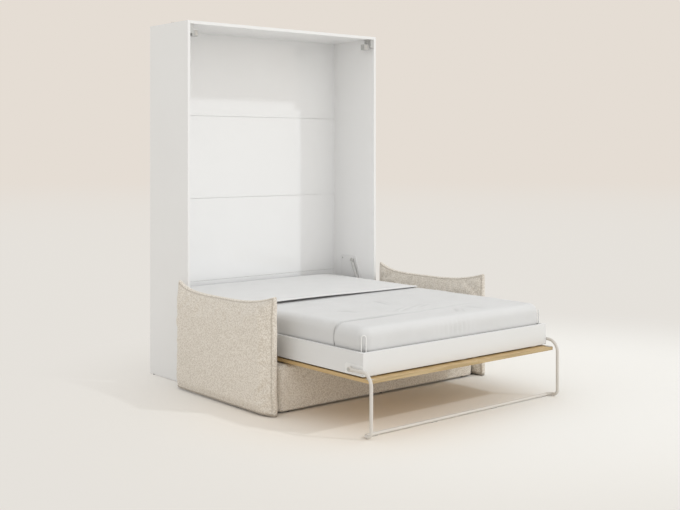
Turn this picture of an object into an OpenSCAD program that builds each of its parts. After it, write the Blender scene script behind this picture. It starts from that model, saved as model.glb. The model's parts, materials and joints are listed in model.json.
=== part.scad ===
// Wall bed with a sofa under it, shown folded down.
// The floor is z = 0, the room is towards -y, the wall towards +y, and x = 0 is the middle.
// The origin is at the middle of the whole object's footprint, bed down.
// Lengths written with f are measured out from the cabinet's front edge into the room.

/* [Mattress and bed box] */
// Width of the mattress
mattress_w = 1350; // [1200:10:1600]
// Length of the mattress
mattress_l = 1900; // [1880:10:2000]
// Thickness of the mattress
mattress_h = 180; // [140:5:190]
// Room between the mattress and the bed box at the sides and the foot
mattress_gap = 10; // [9:1:14]
// Thickness of the bed box boards
rail_t = 18; // [15:1:22]
// Height of the bed box boards
rail_h = 118; // [100:1:130]
// Thickness of the oak front
panel_t = 18; // [14:1:22]
// Shadow gap between the oak front and the bed box
panel_gap = 8; // [4:1:12]
// Oak front beyond the bed box at the foot
panel_over = 50; // [30:1:60]
// Place of the seam between the two oak panels, from the middle
seam_x = 80; // [-200:10:200]

/* [Cabinet] */
// Depth of the cabinet
cab_d = 450; // [445:5:520]
// Thickness of the side and top panels
board_t = 19; // [16:1:25]
// Thickness of the back boards
back_t = 18; // [15:1:19]
// Gap between two back boards
back_seam = 2; // [1:0.5:4]
// Height of the lowest back board above the floor
back_z = 20; // [10:1:40]
// Gap between the bed box and the side panel
side_gap = 38; // [36:1:50]
// Gap between the closed oak front and the top panel
top_gap = 37; // [30:1:60]
// Height of the glides under the side panels
glide_h = 4; // [3:1:8]
// Height of the floor rail between the side panels
floor_rail_h = 80; // [50:5:90]

/* [Folding leg] */
// Diameter of the leg tube
tube_d = 18; // [14:1:20]
// Distance from the leg's hinge to its posts
leg_arm = 162; // [130:1:180]
// Gap between the posts and the end of the oak front
leg_gap = 15; // [10:1:30]
// Bend at the top of a post
leg_bend = 65; // [40:1:80]
// Bend at the bottom of a post
foot_bend = 28; // [22:1:40]
// Bend from the foot into the floor bar
bar_bend = 26; // [22:1:40]
// Diameter of the leg's hinge pins
leg_pin_d = 10; // [8:1:12]

/* [Lift mechanism] */
// Thickness of the mechanism plates
plate_t = 3; // [2:0.5:4]
// Diameter of the bed's hinge pins
pivot_d = 16; // [12:1:18]
// Diameter of the strut cylinder
strut_d = 22; // [18:1:22]
// Diameter of the strut rod
strut_rod_d = 8; // [6:1:10]
// Diameter of the strut studs
stud_d = 10; // [8:1:11]

/* [Sofa] */
// Height of the seat block
seat_h = 262; // [240:1:300]
// Clearance between the seat block and the oak front, bed down
seat_clear = 6; // [5:1:20]
// Distance from the cabinet to the seat block's front
seat_front = 915; // [800:5:1000]
// Padding round the sofa frame
seat_pad = 16; // [12:1:24]
// Padding on top of the seat panel
seat_top_pad = 50; // [30:1:60]
// Thickness of an arm cushion
arm_t = 116; // [100:2:140]
// Length of an arm cushion
arm_l = 970; // [900:10:1040]
// Height of an arm cushion at its corners
arm_h = 642; // [560:2:700]
// Dip of an arm cushion's top edge between its corners
arm_dip = 52; // [20:1:70]

/* [Hidden] */
$fn = 48;
eps = 0.01;
fit = 0.3;
run = 0.05;

// Bed box in the open position
panel_z = seat_h + seat_clear;
rail_in = mattress_w / 2 + mattress_gap;
rail_out = rail_in + rail_t;
rail_z = panel_z + panel_t + panel_gap;
rail_top = rail_z + rail_h;
head_gap = 14;
bed_head = -(cab_d - back_t - head_gap);
mattress_head = bed_head + rail_t + mattress_gap;
mattress_foot = mattress_head + mattress_l;
foot_in = mattress_foot + mattress_gap;
foot_out = foot_in + rail_t;
panel_end = foot_out + panel_over;
panel_edge = rail_out - 1;
tube_h = 20;
tube_w = 30;
tube_wall = 2;
slat_z = rail_z + tube_h + 2;
slat_t = 8;
mattress_z = slat_z + slat_t + fit;
mattress_top = mattress_z + mattress_h;

// The hinge puts the oak front flush with the cabinet when the bed is up
pivot_z = rail_top;
pivot_f = panel_z - pivot_z;
fold_clear = 13;
panel_head = pivot_f + (seat_h + fold_clear - pivot_z);

// Cabinet
in_x = rail_out + side_gap;
cab_x = in_x + board_t;
cab_in_h = pivot_z + panel_end - pivot_f + top_gap;
cab_h = cab_in_h + board_t;
back_count = 4;
back_h = (cab_in_h - back_z - (back_count - 1) * back_seam) / back_count;
cam_d = 15;
cam_h = 13;
cam_in = 34;

// Leg, standing on the floor
leg_plate_t = 2;
pad_h = 2;
tube_gap = 1;
leg_x = rail_out + leg_plate_t + tube_gap + tube_d / 2;
leg_f = panel_end + leg_gap + tube_d / 2;
leg_pivot_f = leg_f - leg_arm;
leg_pivot_z = rail_z + 29;
foot_z = pad_h + tube_d / 2;
bar_f = leg_f - foot_bend - bar_bend;
bar_x = leg_x - bar_bend;
sleeve_d = leg_pin_d + 16;
sleeve_l = tube_d + 2 * (tube_gap - fit);

// Lift mechanism, drawn on the right and mirrored
bracket_t = 4;
strut_x = in_x - plate_t - 16;
eye_w = 12;
eye_d = stud_d + 12;
strut_top = [pivot_f - 72, pivot_z + 228];
strut_foot = [pivot_f + 44, pivot_z - 19];
strut_v = strut_foot - strut_top;
strut_l = norm(strut_v);
strut_tilt = atan2(strut_v[0], -strut_v[1]);
cyl_start = 16;
cyl_l = 150;
rod_in = 22;
rod_bore_l = 128;

// Sofa
sofa_rear = 12;
arm_x = cab_x + arm_t / 2;
seat_x = cab_x - 6;
frame_x = seat_x - seat_pad;
frame_rear = sofa_rear + seat_pad;
frame_front = seat_front - seat_pad;
frame_t = 18;
sofa_glide_h = 14;
seat_panel_t = 12;
seat_panel_top = seat_h - seat_top_pad;
frame_top = seat_panel_top - seat_panel_t;
strip_t = 4;
strip_w = 40;
strip_inset = 200;
strip_f = [sofa_rear + strip_inset, seat_front - strip_inset];
arm_rear = -10;
arm_board_t = 18;
arm_board_inset = 130;
board_x = [cab_x + 5, cab_x + 5 + arm_board_t];
board_f = [arm_rear + arm_board_inset, arm_rear + arm_l - arm_board_inset];
board_h = 240;

// Depth of the whole object, from the wall to the leg's posts
depth = cab_d + leg_f + tube_d / 2;
wall_y = depth / 2;

// y of a point that lies f in front of the cabinet
function out(f) = wall_y - cab_d - f;

// Box between pairs of x, f and z
module block(x, f, z) {
    translate([x[0], out(f[1]), z[0]])
        cube([x[1] - x[0], f[1] - f[0], z[1] - z[0]]);
}

// Round bar along x
module bar_along_x(x, f, z, d) {
    translate([x[0], out(f), z])
        rotate([0, 90, 0])
            cylinder(h = x[1] - x[0], d = d);
}

// Round bar along z
module bar_along_z(x, f, z, d) {
    translate([x, out(f), z[0]])
        cylinder(h = z[1] - z[0], d = d);
}

// Plate parallel to the side panels, with its outline as points of f and z
module side_plate(x, outline) {
    translate([x[0], 0, 0])
        rotate([90, 0, 90])
            linear_extrude(x[1] - x[0])
                polygon([for (p = outline) [out(p[0]), p[1]]]);
}

// Draws its children on the right, or mirrored on the left
module on_side(s) {
    if (s < 0)
        mirror([1, 0, 0])
            children();
    else
        children();
}

// Quarter of a bent tube in the xy plane, from [r, 0] to [0, r]
module elbow(r, d) {
    rotate_extrude(angle = 90)
        translate([r, 0])
            circle(d = d);
}

// Cabinet

module side_panel() {
    color("white")
        block([in_x, cab_x], [-cab_d, 0], [glide_h, cab_h]);
}

cam_f = [-cab_d + 60, -60];

module top_panel() {
    color("white")
        difference() {
            block([-in_x, in_x], [-cab_d, 0], [cab_in_h, cab_h]);
            for (s = [-1, 1], f = cam_f)
                bar_along_z(s * (in_x - cam_in), f, [cab_h - cam_h, cab_h + 1], cam_d + 2 * run);
        }
}

function back_low(i) = back_z + i * (back_h + back_seam);
function back_cam_z(i) = [back_low(i) + back_h * 0.2, back_low(i) + back_h * 0.8];

module back_cam(s, z, h, d) {
    translate([s * (in_x - cam_in), wall_y, z])
        rotate([90, 0, 0])
            cylinder(h = h, d = d);
}

module back_board(i) {
    color("white")
        difference() {
            block([-in_x, in_x], [-cab_d, -cab_d + back_t], [back_low(i), back_low(i) + back_h]);
            for (s = [-1, 1], z = back_cam_z(i))
                translate([0, 1, 0])
                    back_cam(s, z, cam_h + 1, cam_d + 2 * run);
        }
}

module cam_locks() {
    color("silver") {
        for (s = [-1, 1], f = cam_f)
            bar_along_z(s * (in_x - cam_in), f, [cab_h - cam_h, cab_h], cam_d);
        for (i = [0 : back_count - 1], s = [-1, 1], z = back_cam_z(i))
            back_cam(s, z, cam_h, cam_d);
    }
}

module floor_rail() {
    color("white")
        block([-in_x, in_x], [-2 - board_t, -2], [glide_h, floor_rail_h]);
}

module cabinet_glides() {
    glide_d = board_t - 3;
    color("dimgray")
        for (s = [-1, 1], f = [-cab_d + 40, -40])
            bar_along_z(s * (cab_x - board_t / 2), f, [0, glide_h], glide_d);
}

// Steel angles on the top panel that screw to the wall
wall_bracket_x = cab_x - 180;
wall_hole_z = cab_h + 24;
wall_hole_d = 9;

module wall_brackets() {
    bracket_w = 50;
    bracket_h = 42;
    color("silver")
        for (s = [-1, 1])
            difference() {
                translate([s * wall_bracket_x - bracket_w / 2, 0, 0]) {
                    block([0, bracket_w], [-cab_d, -cab_d + plate_t], [cab_h, cab_h + bracket_h]);
                    block([0, bracket_w], [-cab_d, -cab_d + bracket_w], [cab_h, cab_h + plate_t]);
                }
                translate([s * wall_bracket_x, wall_y + 1, wall_hole_z])
                    rotate([90, 0, 0])
                        cylinder(h = plate_t + 2, d = wall_hole_d);
            }
}

// Lift mechanism on the cabinet

plate_x = [in_x - plate_t, in_x];
pivot_boss_d = 72;
plate_top = strut_top[1] + 30;
plate_rear = pivot_f - 210;
mech_screw_at = [
    [plate_rear + 22, plate_top - 22], [plate_rear + 120, plate_top - 22],
    [plate_rear + 22, pivot_z + 80], [plate_rear + 22, pivot_z - 50],
    [plate_rear + 130, pivot_z - 50], [plate_rear + 130, pivot_z + 80]];
mech_screw_d = 6;

module mechanism_plate() {
    color("whitesmoke")
        difference() {
            union() {
                side_plate(plate_x, [
                    [plate_rear, pivot_z - 62], [plate_rear, plate_top - 12],
                    [plate_rear + 12, plate_top], [strut_top[0] + 18, plate_top],
                    [strut_top[0] + 26, plate_top - 10], [pivot_f + 28, pivot_z + 18],
                    [pivot_f + 28, pivot_z - 50], [pivot_f + 16, pivot_z - 62]]);
                bar_along_x(plate_x, pivot_f, pivot_z, pivot_boss_d);
            }
            for (p = mech_screw_at)
                bar_along_x([plate_x[0] - 1, plate_x[1] + 1], p[0], p[1], mech_screw_d + 2 * run);
        }
}

module mechanism_screws() {
    head_t = 2.5;
    color("silver")
        for (s = [-1, 1])
            on_side(s)
                for (p = mech_screw_at) {
                    bar_along_x(plate_x, p[0], p[1], mech_screw_d);
                    bar_along_x([plate_x[0] - head_t, plate_x[0]], p[0], p[1], 2 * mech_screw_d);
                }
}

bush_flange_t = 2;
bracket_x = [rail_out, rail_out + bracket_t];

module hinge_pins() {
    boss_d = pivot_d + 12;
    boss_end = bracket_x[1] + bush_flange_t + fit;
    color("silver")
        for (s = [-1, 1])
            on_side(s) {
                bar_along_x([boss_end, plate_x[0]], pivot_f, pivot_z, boss_d);
                bar_along_x([rail_out + fit, boss_end + eps], pivot_f, pivot_z, pivot_d);
            }
}

// Studs that the upper ends of the struts hang on
module strut_studs() {
    eye_end = strut_x + eye_w / 2;
    head_start = strut_x - eye_w / 2 - fit;
    head_t = 2;
    color("silver")
        for (s = [-1, 1])
            on_side(s) {
                bar_along_x([head_start, plate_x[0]], strut_top[0], strut_top[1], stud_d);
                bar_along_x([eye_end + fit, plate_x[0]], strut_top[0], strut_top[1], stud_d + 8);
                bar_along_x([head_start - head_t, head_start], strut_top[0], strut_top[1], stud_d + 6);
            }
}

// Catch blocks under the top panel hold the closed front with a magnet
strike_t = 2;
strike_face = pivot_f - (panel_z + panel_t + strike_t - pivot_z);
catch_z = cab_in_h - 56;
tongue_x = [in_x - 70, in_x - 25];
tongue_z = [cab_in_h - 72, cab_in_h - 34];
magnet_x = [tongue_x[0] + 7, panel_edge - 5];
magnet_z = [tongue_z[0] + 6, tongue_z[1] - 6];

module catches() {
    color("gainsboro")
        for (s = [-1, 1])
            on_side(s)
                difference() {
                    union() {
                        block([tongue_x[1], in_x], [-62, -4], [catch_z, cab_in_h]);
                        block(tongue_x, [-58, strike_face - 1], tongue_z);
                        block([tongue_x[1] - 12, tongue_x[1]], [-58, -26], [tongue_z[1], cab_in_h]);
                    }
                    block(magnet_x + [-run, run], [strike_face - 9, 0], magnet_z + [-run, run]);
                }
}

module catch_magnets() {
    color("dimgray")
        for (s = [-1, 1])
            on_side(s)
                block(magnet_x, [strike_face - 9, strike_face - fit], magnet_z);
}

module catch_strikes() {
    strike_l = tongue_z[1] - tongue_z[0] + 10;
    strike_mid = (tongue_z[0] + tongue_z[1]) / 2 - pivot_z + pivot_f;
    strike_f = [strike_mid - strike_l / 2, min(strike_mid + strike_l / 2, panel_end - 2)];
    color("silver")
        for (s = [-1, 1])
            on_side(s)
                block([tongue_x[0] + 4, panel_edge - 2], strike_f,
                    [panel_z + panel_t, panel_z + panel_t + strike_t]);
}

// Bed box

module rail() {
    color("white")
        block([rail_in, rail_out], [bed_head, foot_in], [rail_z, rail_top]);
}

module footboard() {
    color("white")
        block([-rail_out, rail_out], [foot_in, foot_out], [rail_z, rail_top]);
}

module head_rail() {
    color("white")
        block([-rail_in, rail_in], [bed_head, bed_head + rail_t], [rail_z, rail_top]);
}

// Steel frame under the slats
side_tube_x = [rail_in - tube_w, rail_in];
cross_count = 5;
cross_first = bed_head + rail_t;
cross_step = (foot_in - tube_w - cross_first) / (cross_count - 1);
function cross_f(i) = cross_first + i * cross_step;

module side_tubes() {
    color("lightgray")
        for (s = [-1, 1])
            on_side(s)
                difference() {
                    block(side_tube_x, [cross_first, foot_in], [rail_z, rail_z + tube_h]);
                    block(side_tube_x + [tube_wall, -tube_wall], [cross_first - 1, foot_in + 1],
                        [rail_z + tube_wall, rail_z + tube_h - tube_wall]);
                }
}

// The oak panels hang from the cross tubes on spacers and long screws
fix_x = [-side_tube_x[0] + 40, seam_x - 45, seam_x + 45, side_tube_x[0] - 40];
fix_rows = [1, 2, 3, 4];
screw_d = 5;

module at_fixings() {
    for (i = fix_rows, x = fix_x)
        translate([x, out(cross_f(i) + tube_w / 2), 0])
            children();
}

module cross_tubes() {
    color("lightgray")
        difference() {
            for (i = [0 : cross_count - 1])
                block([-side_tube_x[0], side_tube_x[0]], [cross_f(i), cross_f(i) + tube_w],
                    [rail_z, rail_z + tube_h]);
            for (i = [0 : cross_count - 1])
                block([-rail_in, rail_in], [cross_f(i) + tube_wall, cross_f(i) + tube_w - tube_wall],
                    [rail_z + tube_wall, rail_z + tube_h - tube_wall]);
            at_fixings()
                translate([0, 0, rail_z - 1])
                    cylinder(h = tube_h + 2, d = screw_d + 2 * run);
        }
}

module panel_spacers() {
    color("lightgray")
        difference() {
            at_fixings()
                translate([-20, -tube_w / 2, rail_z - panel_gap])
                    cube([40, tube_w, panel_gap]);
            at_fixings()
                translate([0, 0, rail_z - panel_gap - 1])
                    cylinder(h = panel_gap + 2, d = screw_d + 2 * run);
        }
}

screw_depth = panel_t - 5;

module panel_screws() {
    head_t = 1.6;
    color("silver")
        at_fixings() {
            translate([0, 0, panel_z + panel_t - screw_depth])
                cylinder(h = rail_z + tube_h - panel_z - panel_t + screw_depth, d = screw_d);
            translate([0, 0, rail_z + tube_h])
                cylinder(h = head_t, d = 2 * screw_d);
        }
}

module oak_panel(x) {
    color("burlywood")
        difference() {
            block(x, [panel_head, panel_end], [panel_z, panel_z + panel_t]);
            at_fixings()
                translate([0, 0, panel_z + panel_t - screw_depth])
                    cylinder(h = screw_depth + 1, d = screw_d + 2 * run);
        }
}

// Sprung slats in plastic holders
slat_count = 14;
slat_w = 60;
slat_first = cross_first + 55;
slat_step = (foot_in - 55 - slat_first - slat_w) / (slat_count - 1);
slat_end = rail_in - 12;
holder_x = [side_tube_x[0] - 4, rail_in - 4];
holder_f = 5;

module slats() {
    color("wheat")
        for (i = [0 : slat_count - 1])
            block([-slat_end, slat_end], [slat_first + i * slat_step, slat_first + i * slat_step + slat_w],
                [slat_z, slat_z + slat_t]);
}

module slat_holders() {
    color("dimgray")
        for (s = [-1, 1], i = [0 : slat_count - 1]) {
            f = [slat_first + i * slat_step, slat_first + i * slat_step + slat_w];
            on_side(s)
                difference() {
                    block(holder_x, f + [-holder_f, holder_f], [rail_z + tube_h, slat_z + slat_t]);
                    block([holder_x[0] - 1, slat_end + fit], f + [-fit, fit], [slat_z, slat_z + slat_t + 2]);
                }
        }
}

// Hinge brackets on the bed box
bolt_at = [
    [pivot_f - 46, rail_z + 22], [pivot_f - 46, rail_z + 84],
    [pivot_f + 100, rail_z + 22], [pivot_f + 100, rail_z + 84]];
bolt_d = 8;
bush_d = pivot_d + 6;
bush_flange_d = bush_d + 8;

module bed_bracket() {
    color("silver")
        difference() {
            union() {
                side_plate(bracket_x, [
                    [pivot_f - 62, rail_z + 6], [pivot_f - 62, rail_top - 18],
                    [pivot_f - 44, rail_top], [pivot_f + 100, rail_top],
                    [pivot_f + 118, rail_top - 18], [pivot_f + 118, rail_z + 6]]);
                bar_along_x(bracket_x, pivot_f, pivot_z, bush_d + 30);
                bar_along_x([bracket_x[1] - eps, strut_x - eye_w / 2 - 1],
                    strut_foot[0], strut_foot[1], stud_d);
            }
            bar_along_x([bracket_x[0] - 1, bracket_x[1] + 1], pivot_f, pivot_z, bush_d + 2 * run);
            for (p = bolt_at)
                bar_along_x([bracket_x[0] - 1, bracket_x[1] + 1], p[0], p[1], bolt_d + 2 * run);
        }
}

module bed_bracket_bolts() {
    head_t = 2.5;
    color("silver")
        for (s = [-1, 1])
            on_side(s)
                for (p = bolt_at) {
                    bar_along_x(bracket_x, p[0], p[1], bolt_d);
                    bar_along_x([bracket_x[1], bracket_x[1] + head_t], p[0], p[1], 1.7 * bolt_d);
                }
}

module hinge_bushes() {
    color("ivory")
        for (s = [-1, 1])
            on_side(s)
                difference() {
                    union() {
                        bar_along_x(bracket_x, pivot_f, pivot_z, bush_d);
                        bar_along_x([bracket_x[1], bracket_x[1] + bush_flange_t],
                            pivot_f, pivot_z, bush_flange_d);
                    }
                    bar_along_x([bracket_x[0] - 1, bracket_x[1] + bush_flange_t + 1], pivot_f, pivot_z,
                        pivot_d + 2 * run);
                }
}

// Leg hinges on the bed box
leg_plate_x = [rail_out, rail_out + leg_plate_t];

module leg_plates() {
    color("gainsboro")
        for (s = [-1, 1])
            on_side(s)
                difference() {
                    side_plate(leg_plate_x, [
                        [leg_pivot_f - 50, rail_z + 2], [leg_pivot_f - 50, rail_z + 46],
                        [leg_pivot_f - 40, rail_z + 56], [foot_out - 10, rail_z + 56],
                        [foot_out - 2, rail_z + 48], [foot_out - 2, rail_z + 2]]);
                    bar_along_x(leg_plate_x + [-1, 1], leg_pivot_f, leg_pivot_z, leg_pin_d + 2 * run);
                }
}

module leg_pins() {
    head_t = 3;
    head_start = leg_x + sleeve_l / 2 + fit;
    color("silver")
        for (s = [-1, 1])
            on_side(s) {
                bar_along_x([rail_out, head_start], leg_pivot_f, leg_pivot_z, leg_pin_d);
                bar_along_x([head_start, head_start + head_t], leg_pivot_f, leg_pivot_z, leg_pin_d + 8);
            }
}

// Wire hoops across the foot corners keep the mattress in place when the bed is up
hoop_d = 6;
hoop_w = 24;
hoop_h = 84;

module mattress_hoops() {
    hoop_r = hoop_w / 2;
    corner = (hoop_d / 2 + fit) * sqrt(2) + hoop_r;
    low = rail_z + tube_h + fit;
    top = rail_top + hoop_h - hoop_d / 2;
    color("gainsboro")
        for (s = [-1, 1])
            on_side(s)
                translate([rail_in, out(foot_in), 0])
                    rotate([0, 0, 45])
                        translate([0, corner, 0]) {
                            for (e = [-1, 1])
                                translate([e * hoop_r, 0, low])
                                    cylinder(h = top - hoop_r - low, d = hoop_d);
                            translate([0, 0, top - hoop_r])
                                rotate([90, 0, 0])
                                    rotate_extrude(angle = 180)
                                        translate([hoop_r, 0])
                                            circle(d = hoop_d);
                        }
}

// Folding leg

module leg_side() {
    color("gainsboro")
        difference() {
            union() {
                bar_along_x([leg_x - sleeve_l / 2, leg_x + sleeve_l / 2], leg_pivot_f, leg_pivot_z, sleeve_d);
                translate([leg_x, out(leg_f - leg_bend), leg_pivot_z])
                    rotate([-90, 0, 0])
                        cylinder(h = leg_arm - leg_bend, d = tube_d);
                translate([leg_x, out(leg_f - leg_bend), leg_pivot_z - leg_bend])
                    rotate([90, 0, -90])
                        elbow(leg_bend, tube_d);
                bar_along_z(leg_x, leg_f, [foot_z + foot_bend, leg_pivot_z - leg_bend], tube_d);
                translate([leg_x, out(leg_f - foot_bend), foot_z + foot_bend])
                    rotate([90, 0, -90])
                        rotate([0, 0, -90])
                            elbow(foot_bend, tube_d);
                translate([bar_x, out(bar_f + bar_bend), foot_z])
                    elbow(bar_bend, tube_d);
            }
            bar_along_x([leg_x - tube_d, leg_x + tube_d], leg_pivot_f, leg_pivot_z, leg_pin_d + 2 * run);
        }
}

module leg_floor_bar() {
    color("gainsboro")
        bar_along_x([-bar_x, bar_x], bar_f, foot_z, tube_d);
}

module leg_pads() {
    pad_l = 40;
    color("dimgray")
        for (s = [-1, 1], x = [bar_x - 40, bar_x / 3])
            difference() {
                translate([s * x - pad_l / 2, 0, 0])
                    block([0, pad_l], [bar_f - 6, bar_f + 6], [0, foot_z - 4]);
                bar_along_x([s * x - pad_l, s * x + pad_l], bar_f, foot_z, tube_d + 2 * run);
            }
}

// Struts: a cylinder that hangs from the cabinet and a rod that slides in it

module along_strut() {
    translate([strut_x, out(strut_top[0]), strut_top[1]])
        rotate([180 - strut_tilt, 0, 0])
            children();
}

module strut_cylinder() {
    color("whitesmoke")
        along_strut()
            difference() {
                union() {
                    rotate([0, 90, 0])
                        cylinder(h = eye_w, d = eye_d, center = true);
                    translate([0, 0, eye_d / 2 - 2])
                        cylinder(h = cyl_start - eye_d / 2 + 2 + eps, d = stud_d);
                    translate([0, 0, cyl_start])
                        cylinder(h = cyl_l, d = strut_d);
                }
                rotate([0, 90, 0])
                    cylinder(h = eye_w + 2, d = stud_d + 2 * run, center = true);
                translate([0, 0, cyl_start + cyl_l - rod_bore_l])
                    cylinder(h = rod_bore_l + 1, d = strut_rod_d + 2 * run);
            }
}

module strut_rod() {
    rod_start = cyl_start + cyl_l - rod_in;
    rod_end = strut_l - eye_d / 2 + 2;
    color("silver")
        along_strut()
            difference() {
                union() {
                    translate([0, 0, rod_start])
                        cylinder(h = rod_end - rod_start, d = strut_rod_d);
                    translate([0, 0, strut_l])
                        rotate([0, 90, 0])
                            cylinder(h = eye_w, d = eye_d, center = true);
                }
                translate([0, 0, strut_l])
                    rotate([0, 90, 0])
                        cylinder(h = eye_w + 2, d = stud_d + 2 * run, center = true);
            }
}

// Soft forms: stacks of rings with the same number of points, closed by a point at each end

corner_steps = 4;
side_steps = 8;

// Points round a rectangle of half sizes a and b with corner radius r, with z from a function of x and y
function ring_xy(a, b, r) = [
    for (q = [0 : 3])
        let (
            sx = (q == 0 || q == 3) ? 1 : -1,
            sy = q < 2 ? 1 : -1,
            nx = (q == 1 || q == 2) ? -1 : 1,
            along_x = q % 2 == 0)
        each concat(
            [for (i = [0 : corner_steps])
                let (t = q * 90 + i * 90 / corner_steps)
                    [sx * (a - r) + r * cos(t), sy * (b - r) + r * sin(t)]],
            [for (i = [1 : side_steps - 1])
                let (k = 1 - 2 * i / side_steps)
                    along_x ? [nx * k * (a - r), sy * b] : [nx * a, sy * k * (b - r)]])];

// Closed solid through rings of equal length, from point first to point last
module ring_solid(rings, first, last) {
    n = len(rings[0]);
    m = len(rings);
    points = concat([for (g = rings) each g], [first, last]);
    walls = [for (j = [0 : m - 2], i = [0 : n - 1])
        let (i2 = (i + 1) % n)
            each [[j * n + i, (j + 1) * n + i, (j + 1) * n + i2], [j * n + i, (j + 1) * n + i2, j * n + i2]]];
    start = [for (i = [0 : n - 1]) [m * n, i, (i + 1) % n]];
    end = [for (i = [0 : n - 1]) [m * n + 1, (m - 1) * n + (i + 1) % n, (m - 1) * n + i]];
    polyhedron(points, concat(walls, start, end));
}

// Mattress
mattress_r = 50;
mattress_mid = [0, out((mattress_head + mattress_foot) / 2)];

// One ring of a bed layer: inset from the mattress outline, at height z, waved by a share w
function bed_ring(inset, z, w = 0) =
    let (a = mattress_w / 2 - inset, b = mattress_l / 2 - inset, r = max(mattress_r - inset, 8))
        [for (p = ring_xy(a, b, r)) [p[0], p[1], z + w * wave(p[0], p[1])]];

// Soft rise and waves of the duvet where no cover lies on it, in millimetres
function wave(x, y) =
    let (open = min(max((out(fold_f) - mattress_mid[1] - 20 - y) / 160, 0), 1))
        open * (6 + 3 * sin(x * 0.55 + y * 0.21) + 2.2 * sin(y * 0.43 - x * 0.3 + 40));

module mattress() {
    edge = 18;
    low = mattress_z;
    color("ghostwhite")
        translate([mattress_mid[0], mattress_mid[1], 0])
            ring_solid([
                bed_ring(edge, low),
                bed_ring(edge * 0.3, low + edge * 0.3),
                bed_ring(0, low + edge),
                bed_ring(4, (low + mattress_top) / 2),
                bed_ring(0, mattress_top - edge),
                bed_ring(edge * 0.3, mattress_top - edge * 0.3),
                bed_ring(edge, mattress_top)],
                [0, 0, low], [0, 0, mattress_top + 2]);
}

// Duvet: lies on the mattress and is tucked in round it
duvet_t = 22;
tuck_t = mattress_gap - 3;
tuck_z = rail_top - 14;
duvet_top = mattress_top + duvet_t;

module duvet() {
    inner = -fit;
    outer = -fit - tuck_t;
    color("whitesmoke")
        translate([mattress_mid[0], mattress_mid[1], 0])
            ring_solid([
                bed_ring(420, mattress_top + 2.6),
                bed_ring(18, mattress_top + 2.4),
                bed_ring(inner + 5, mattress_top - 4),
                bed_ring(inner, mattress_top - 18),
                bed_ring(inner, tuck_z),
                bed_ring(outer, tuck_z),
                bed_ring(outer, rail_top + 12),
                bed_ring(outer + 1, duvet_top - 40),
                bed_ring(outer + 8, duvet_top - 20),
                bed_ring(26, duvet_top - 6, 0.4),
                for (inset = [60, 130, 220, 320, 430, 540])
                    bed_ring(inset, duvet_top, 1)],
                [0, 0, mattress_top + 2.6], [0, 0, duvet_top]);
}

// Cover turned back over the head half of the duvet
fold_f = 560;
fold_t = 10;

module turned_back_cover() {
    half_l = (fold_f - mattress_head) / 2 - 4;
    mid = (fold_f + mattress_head) / 2;
    low = duvet_top + fit;
    function fold_ring(inset, z) =
        [for (p = ring_xy(mattress_w / 2 - inset, half_l - inset / 3, max(30 - inset, 6))) [p[0], p[1], z]];
    color("white")
        translate([0, out(mid), 0])
            ring_solid([
                fold_ring(200, low),
                fold_ring(60, low),
                fold_ring(22, low),
                fold_ring(19, low + fold_t * 0.4),
                fold_ring(24, low + fold_t * 0.9),
                fold_ring(60, low + fold_t + 1),
                fold_ring(200, low + fold_t + 3)],
                [0, 0, low], [0, 0, low + fold_t + 4]);
}

// Sofa

module sofa_end_boards() {
    color("tan")
        for (s = [-1, 1])
            on_side(s)
                block([frame_x - frame_t, frame_x], [frame_rear, frame_front], [sofa_glide_h, frame_top]);
}

module sofa_long_boards() {
    half = frame_x - frame_t;
    mid = (frame_rear + frame_front) / 2;
    color("tan")
        for (f = [frame_rear, mid - frame_t / 2, frame_front - frame_t])
            block([-half, half], [f, f + frame_t], [sofa_glide_h, frame_top]);
}

module seat_panel() {
    color("tan")
        block([-frame_x, frame_x], [frame_rear, frame_front], [frame_top, seat_panel_top]);
}

module sofa_glides() {
    color("dimgray")
        for (x = [-frame_x + 60, 0, frame_x - 60], f = [frame_rear + frame_t / 2, frame_front - frame_t / 2])
            bar_along_z(x, f, [0, sofa_glide_h], 16);
}

module seat_cover() {
    mid_f = (sofa_rear + seat_front) / 2;
    half_b = (seat_front - sofa_rear) / 2;
    hem = sofa_glide_h + 2;
    in_a = frame_x + fit;
    in_b = (frame_front - frame_rear) / 2 + fit;
    function cover_ring(inset, z) =
        [for (p = ring_xy(seat_x - inset, half_b - inset, max(30 - inset, 6))) [p[0], p[1], z]];
    function inner_ring(inset, z) =
        [for (p = ring_xy(in_a - inset, in_b - inset, fit)) [p[0], p[1], z]];
    color("linen")
        translate([0, out(mid_f), 0])
            ring_solid([
                inner_ring(300, seat_panel_top + fit),
                inner_ring(0, seat_panel_top + fit),
                inner_ring(0, hem),
                cover_ring(4, hem),
                cover_ring(0, hem + 14),
                cover_ring(-1.5, (hem + seat_h) / 2),
                cover_ring(0, seat_h - 30),
                cover_ring(6, seat_h - 14),
                cover_ring(20, seat_h - 5),
                cover_ring(60, seat_h - 3),
                cover_ring(160, seat_h - 1),
                cover_ring(300, seat_h)],
                [0, 0, seat_panel_top + fit], [0, 0, seat_h]);
}

// Steel strips under the seat frame carry the arm boards
module arm_strip(grow) {
    for (f = strip_f)
        block([frame_x - 60, board_x[1] + grow], [f - strip_w / 2 - grow, f + strip_w / 2 + grow],
            [sofa_glide_h - strip_t - grow, sofa_glide_h + grow]);
}

module arm_strips() {
    color("silver")
        for (s = [-1, 1])
            on_side(s)
                arm_strip(0);
}

module arm_boards() {
    color("tan")
        for (s = [-1, 1])
            on_side(s)
                block(board_x, board_f, [sofa_glide_h, board_h]);
}

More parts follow.
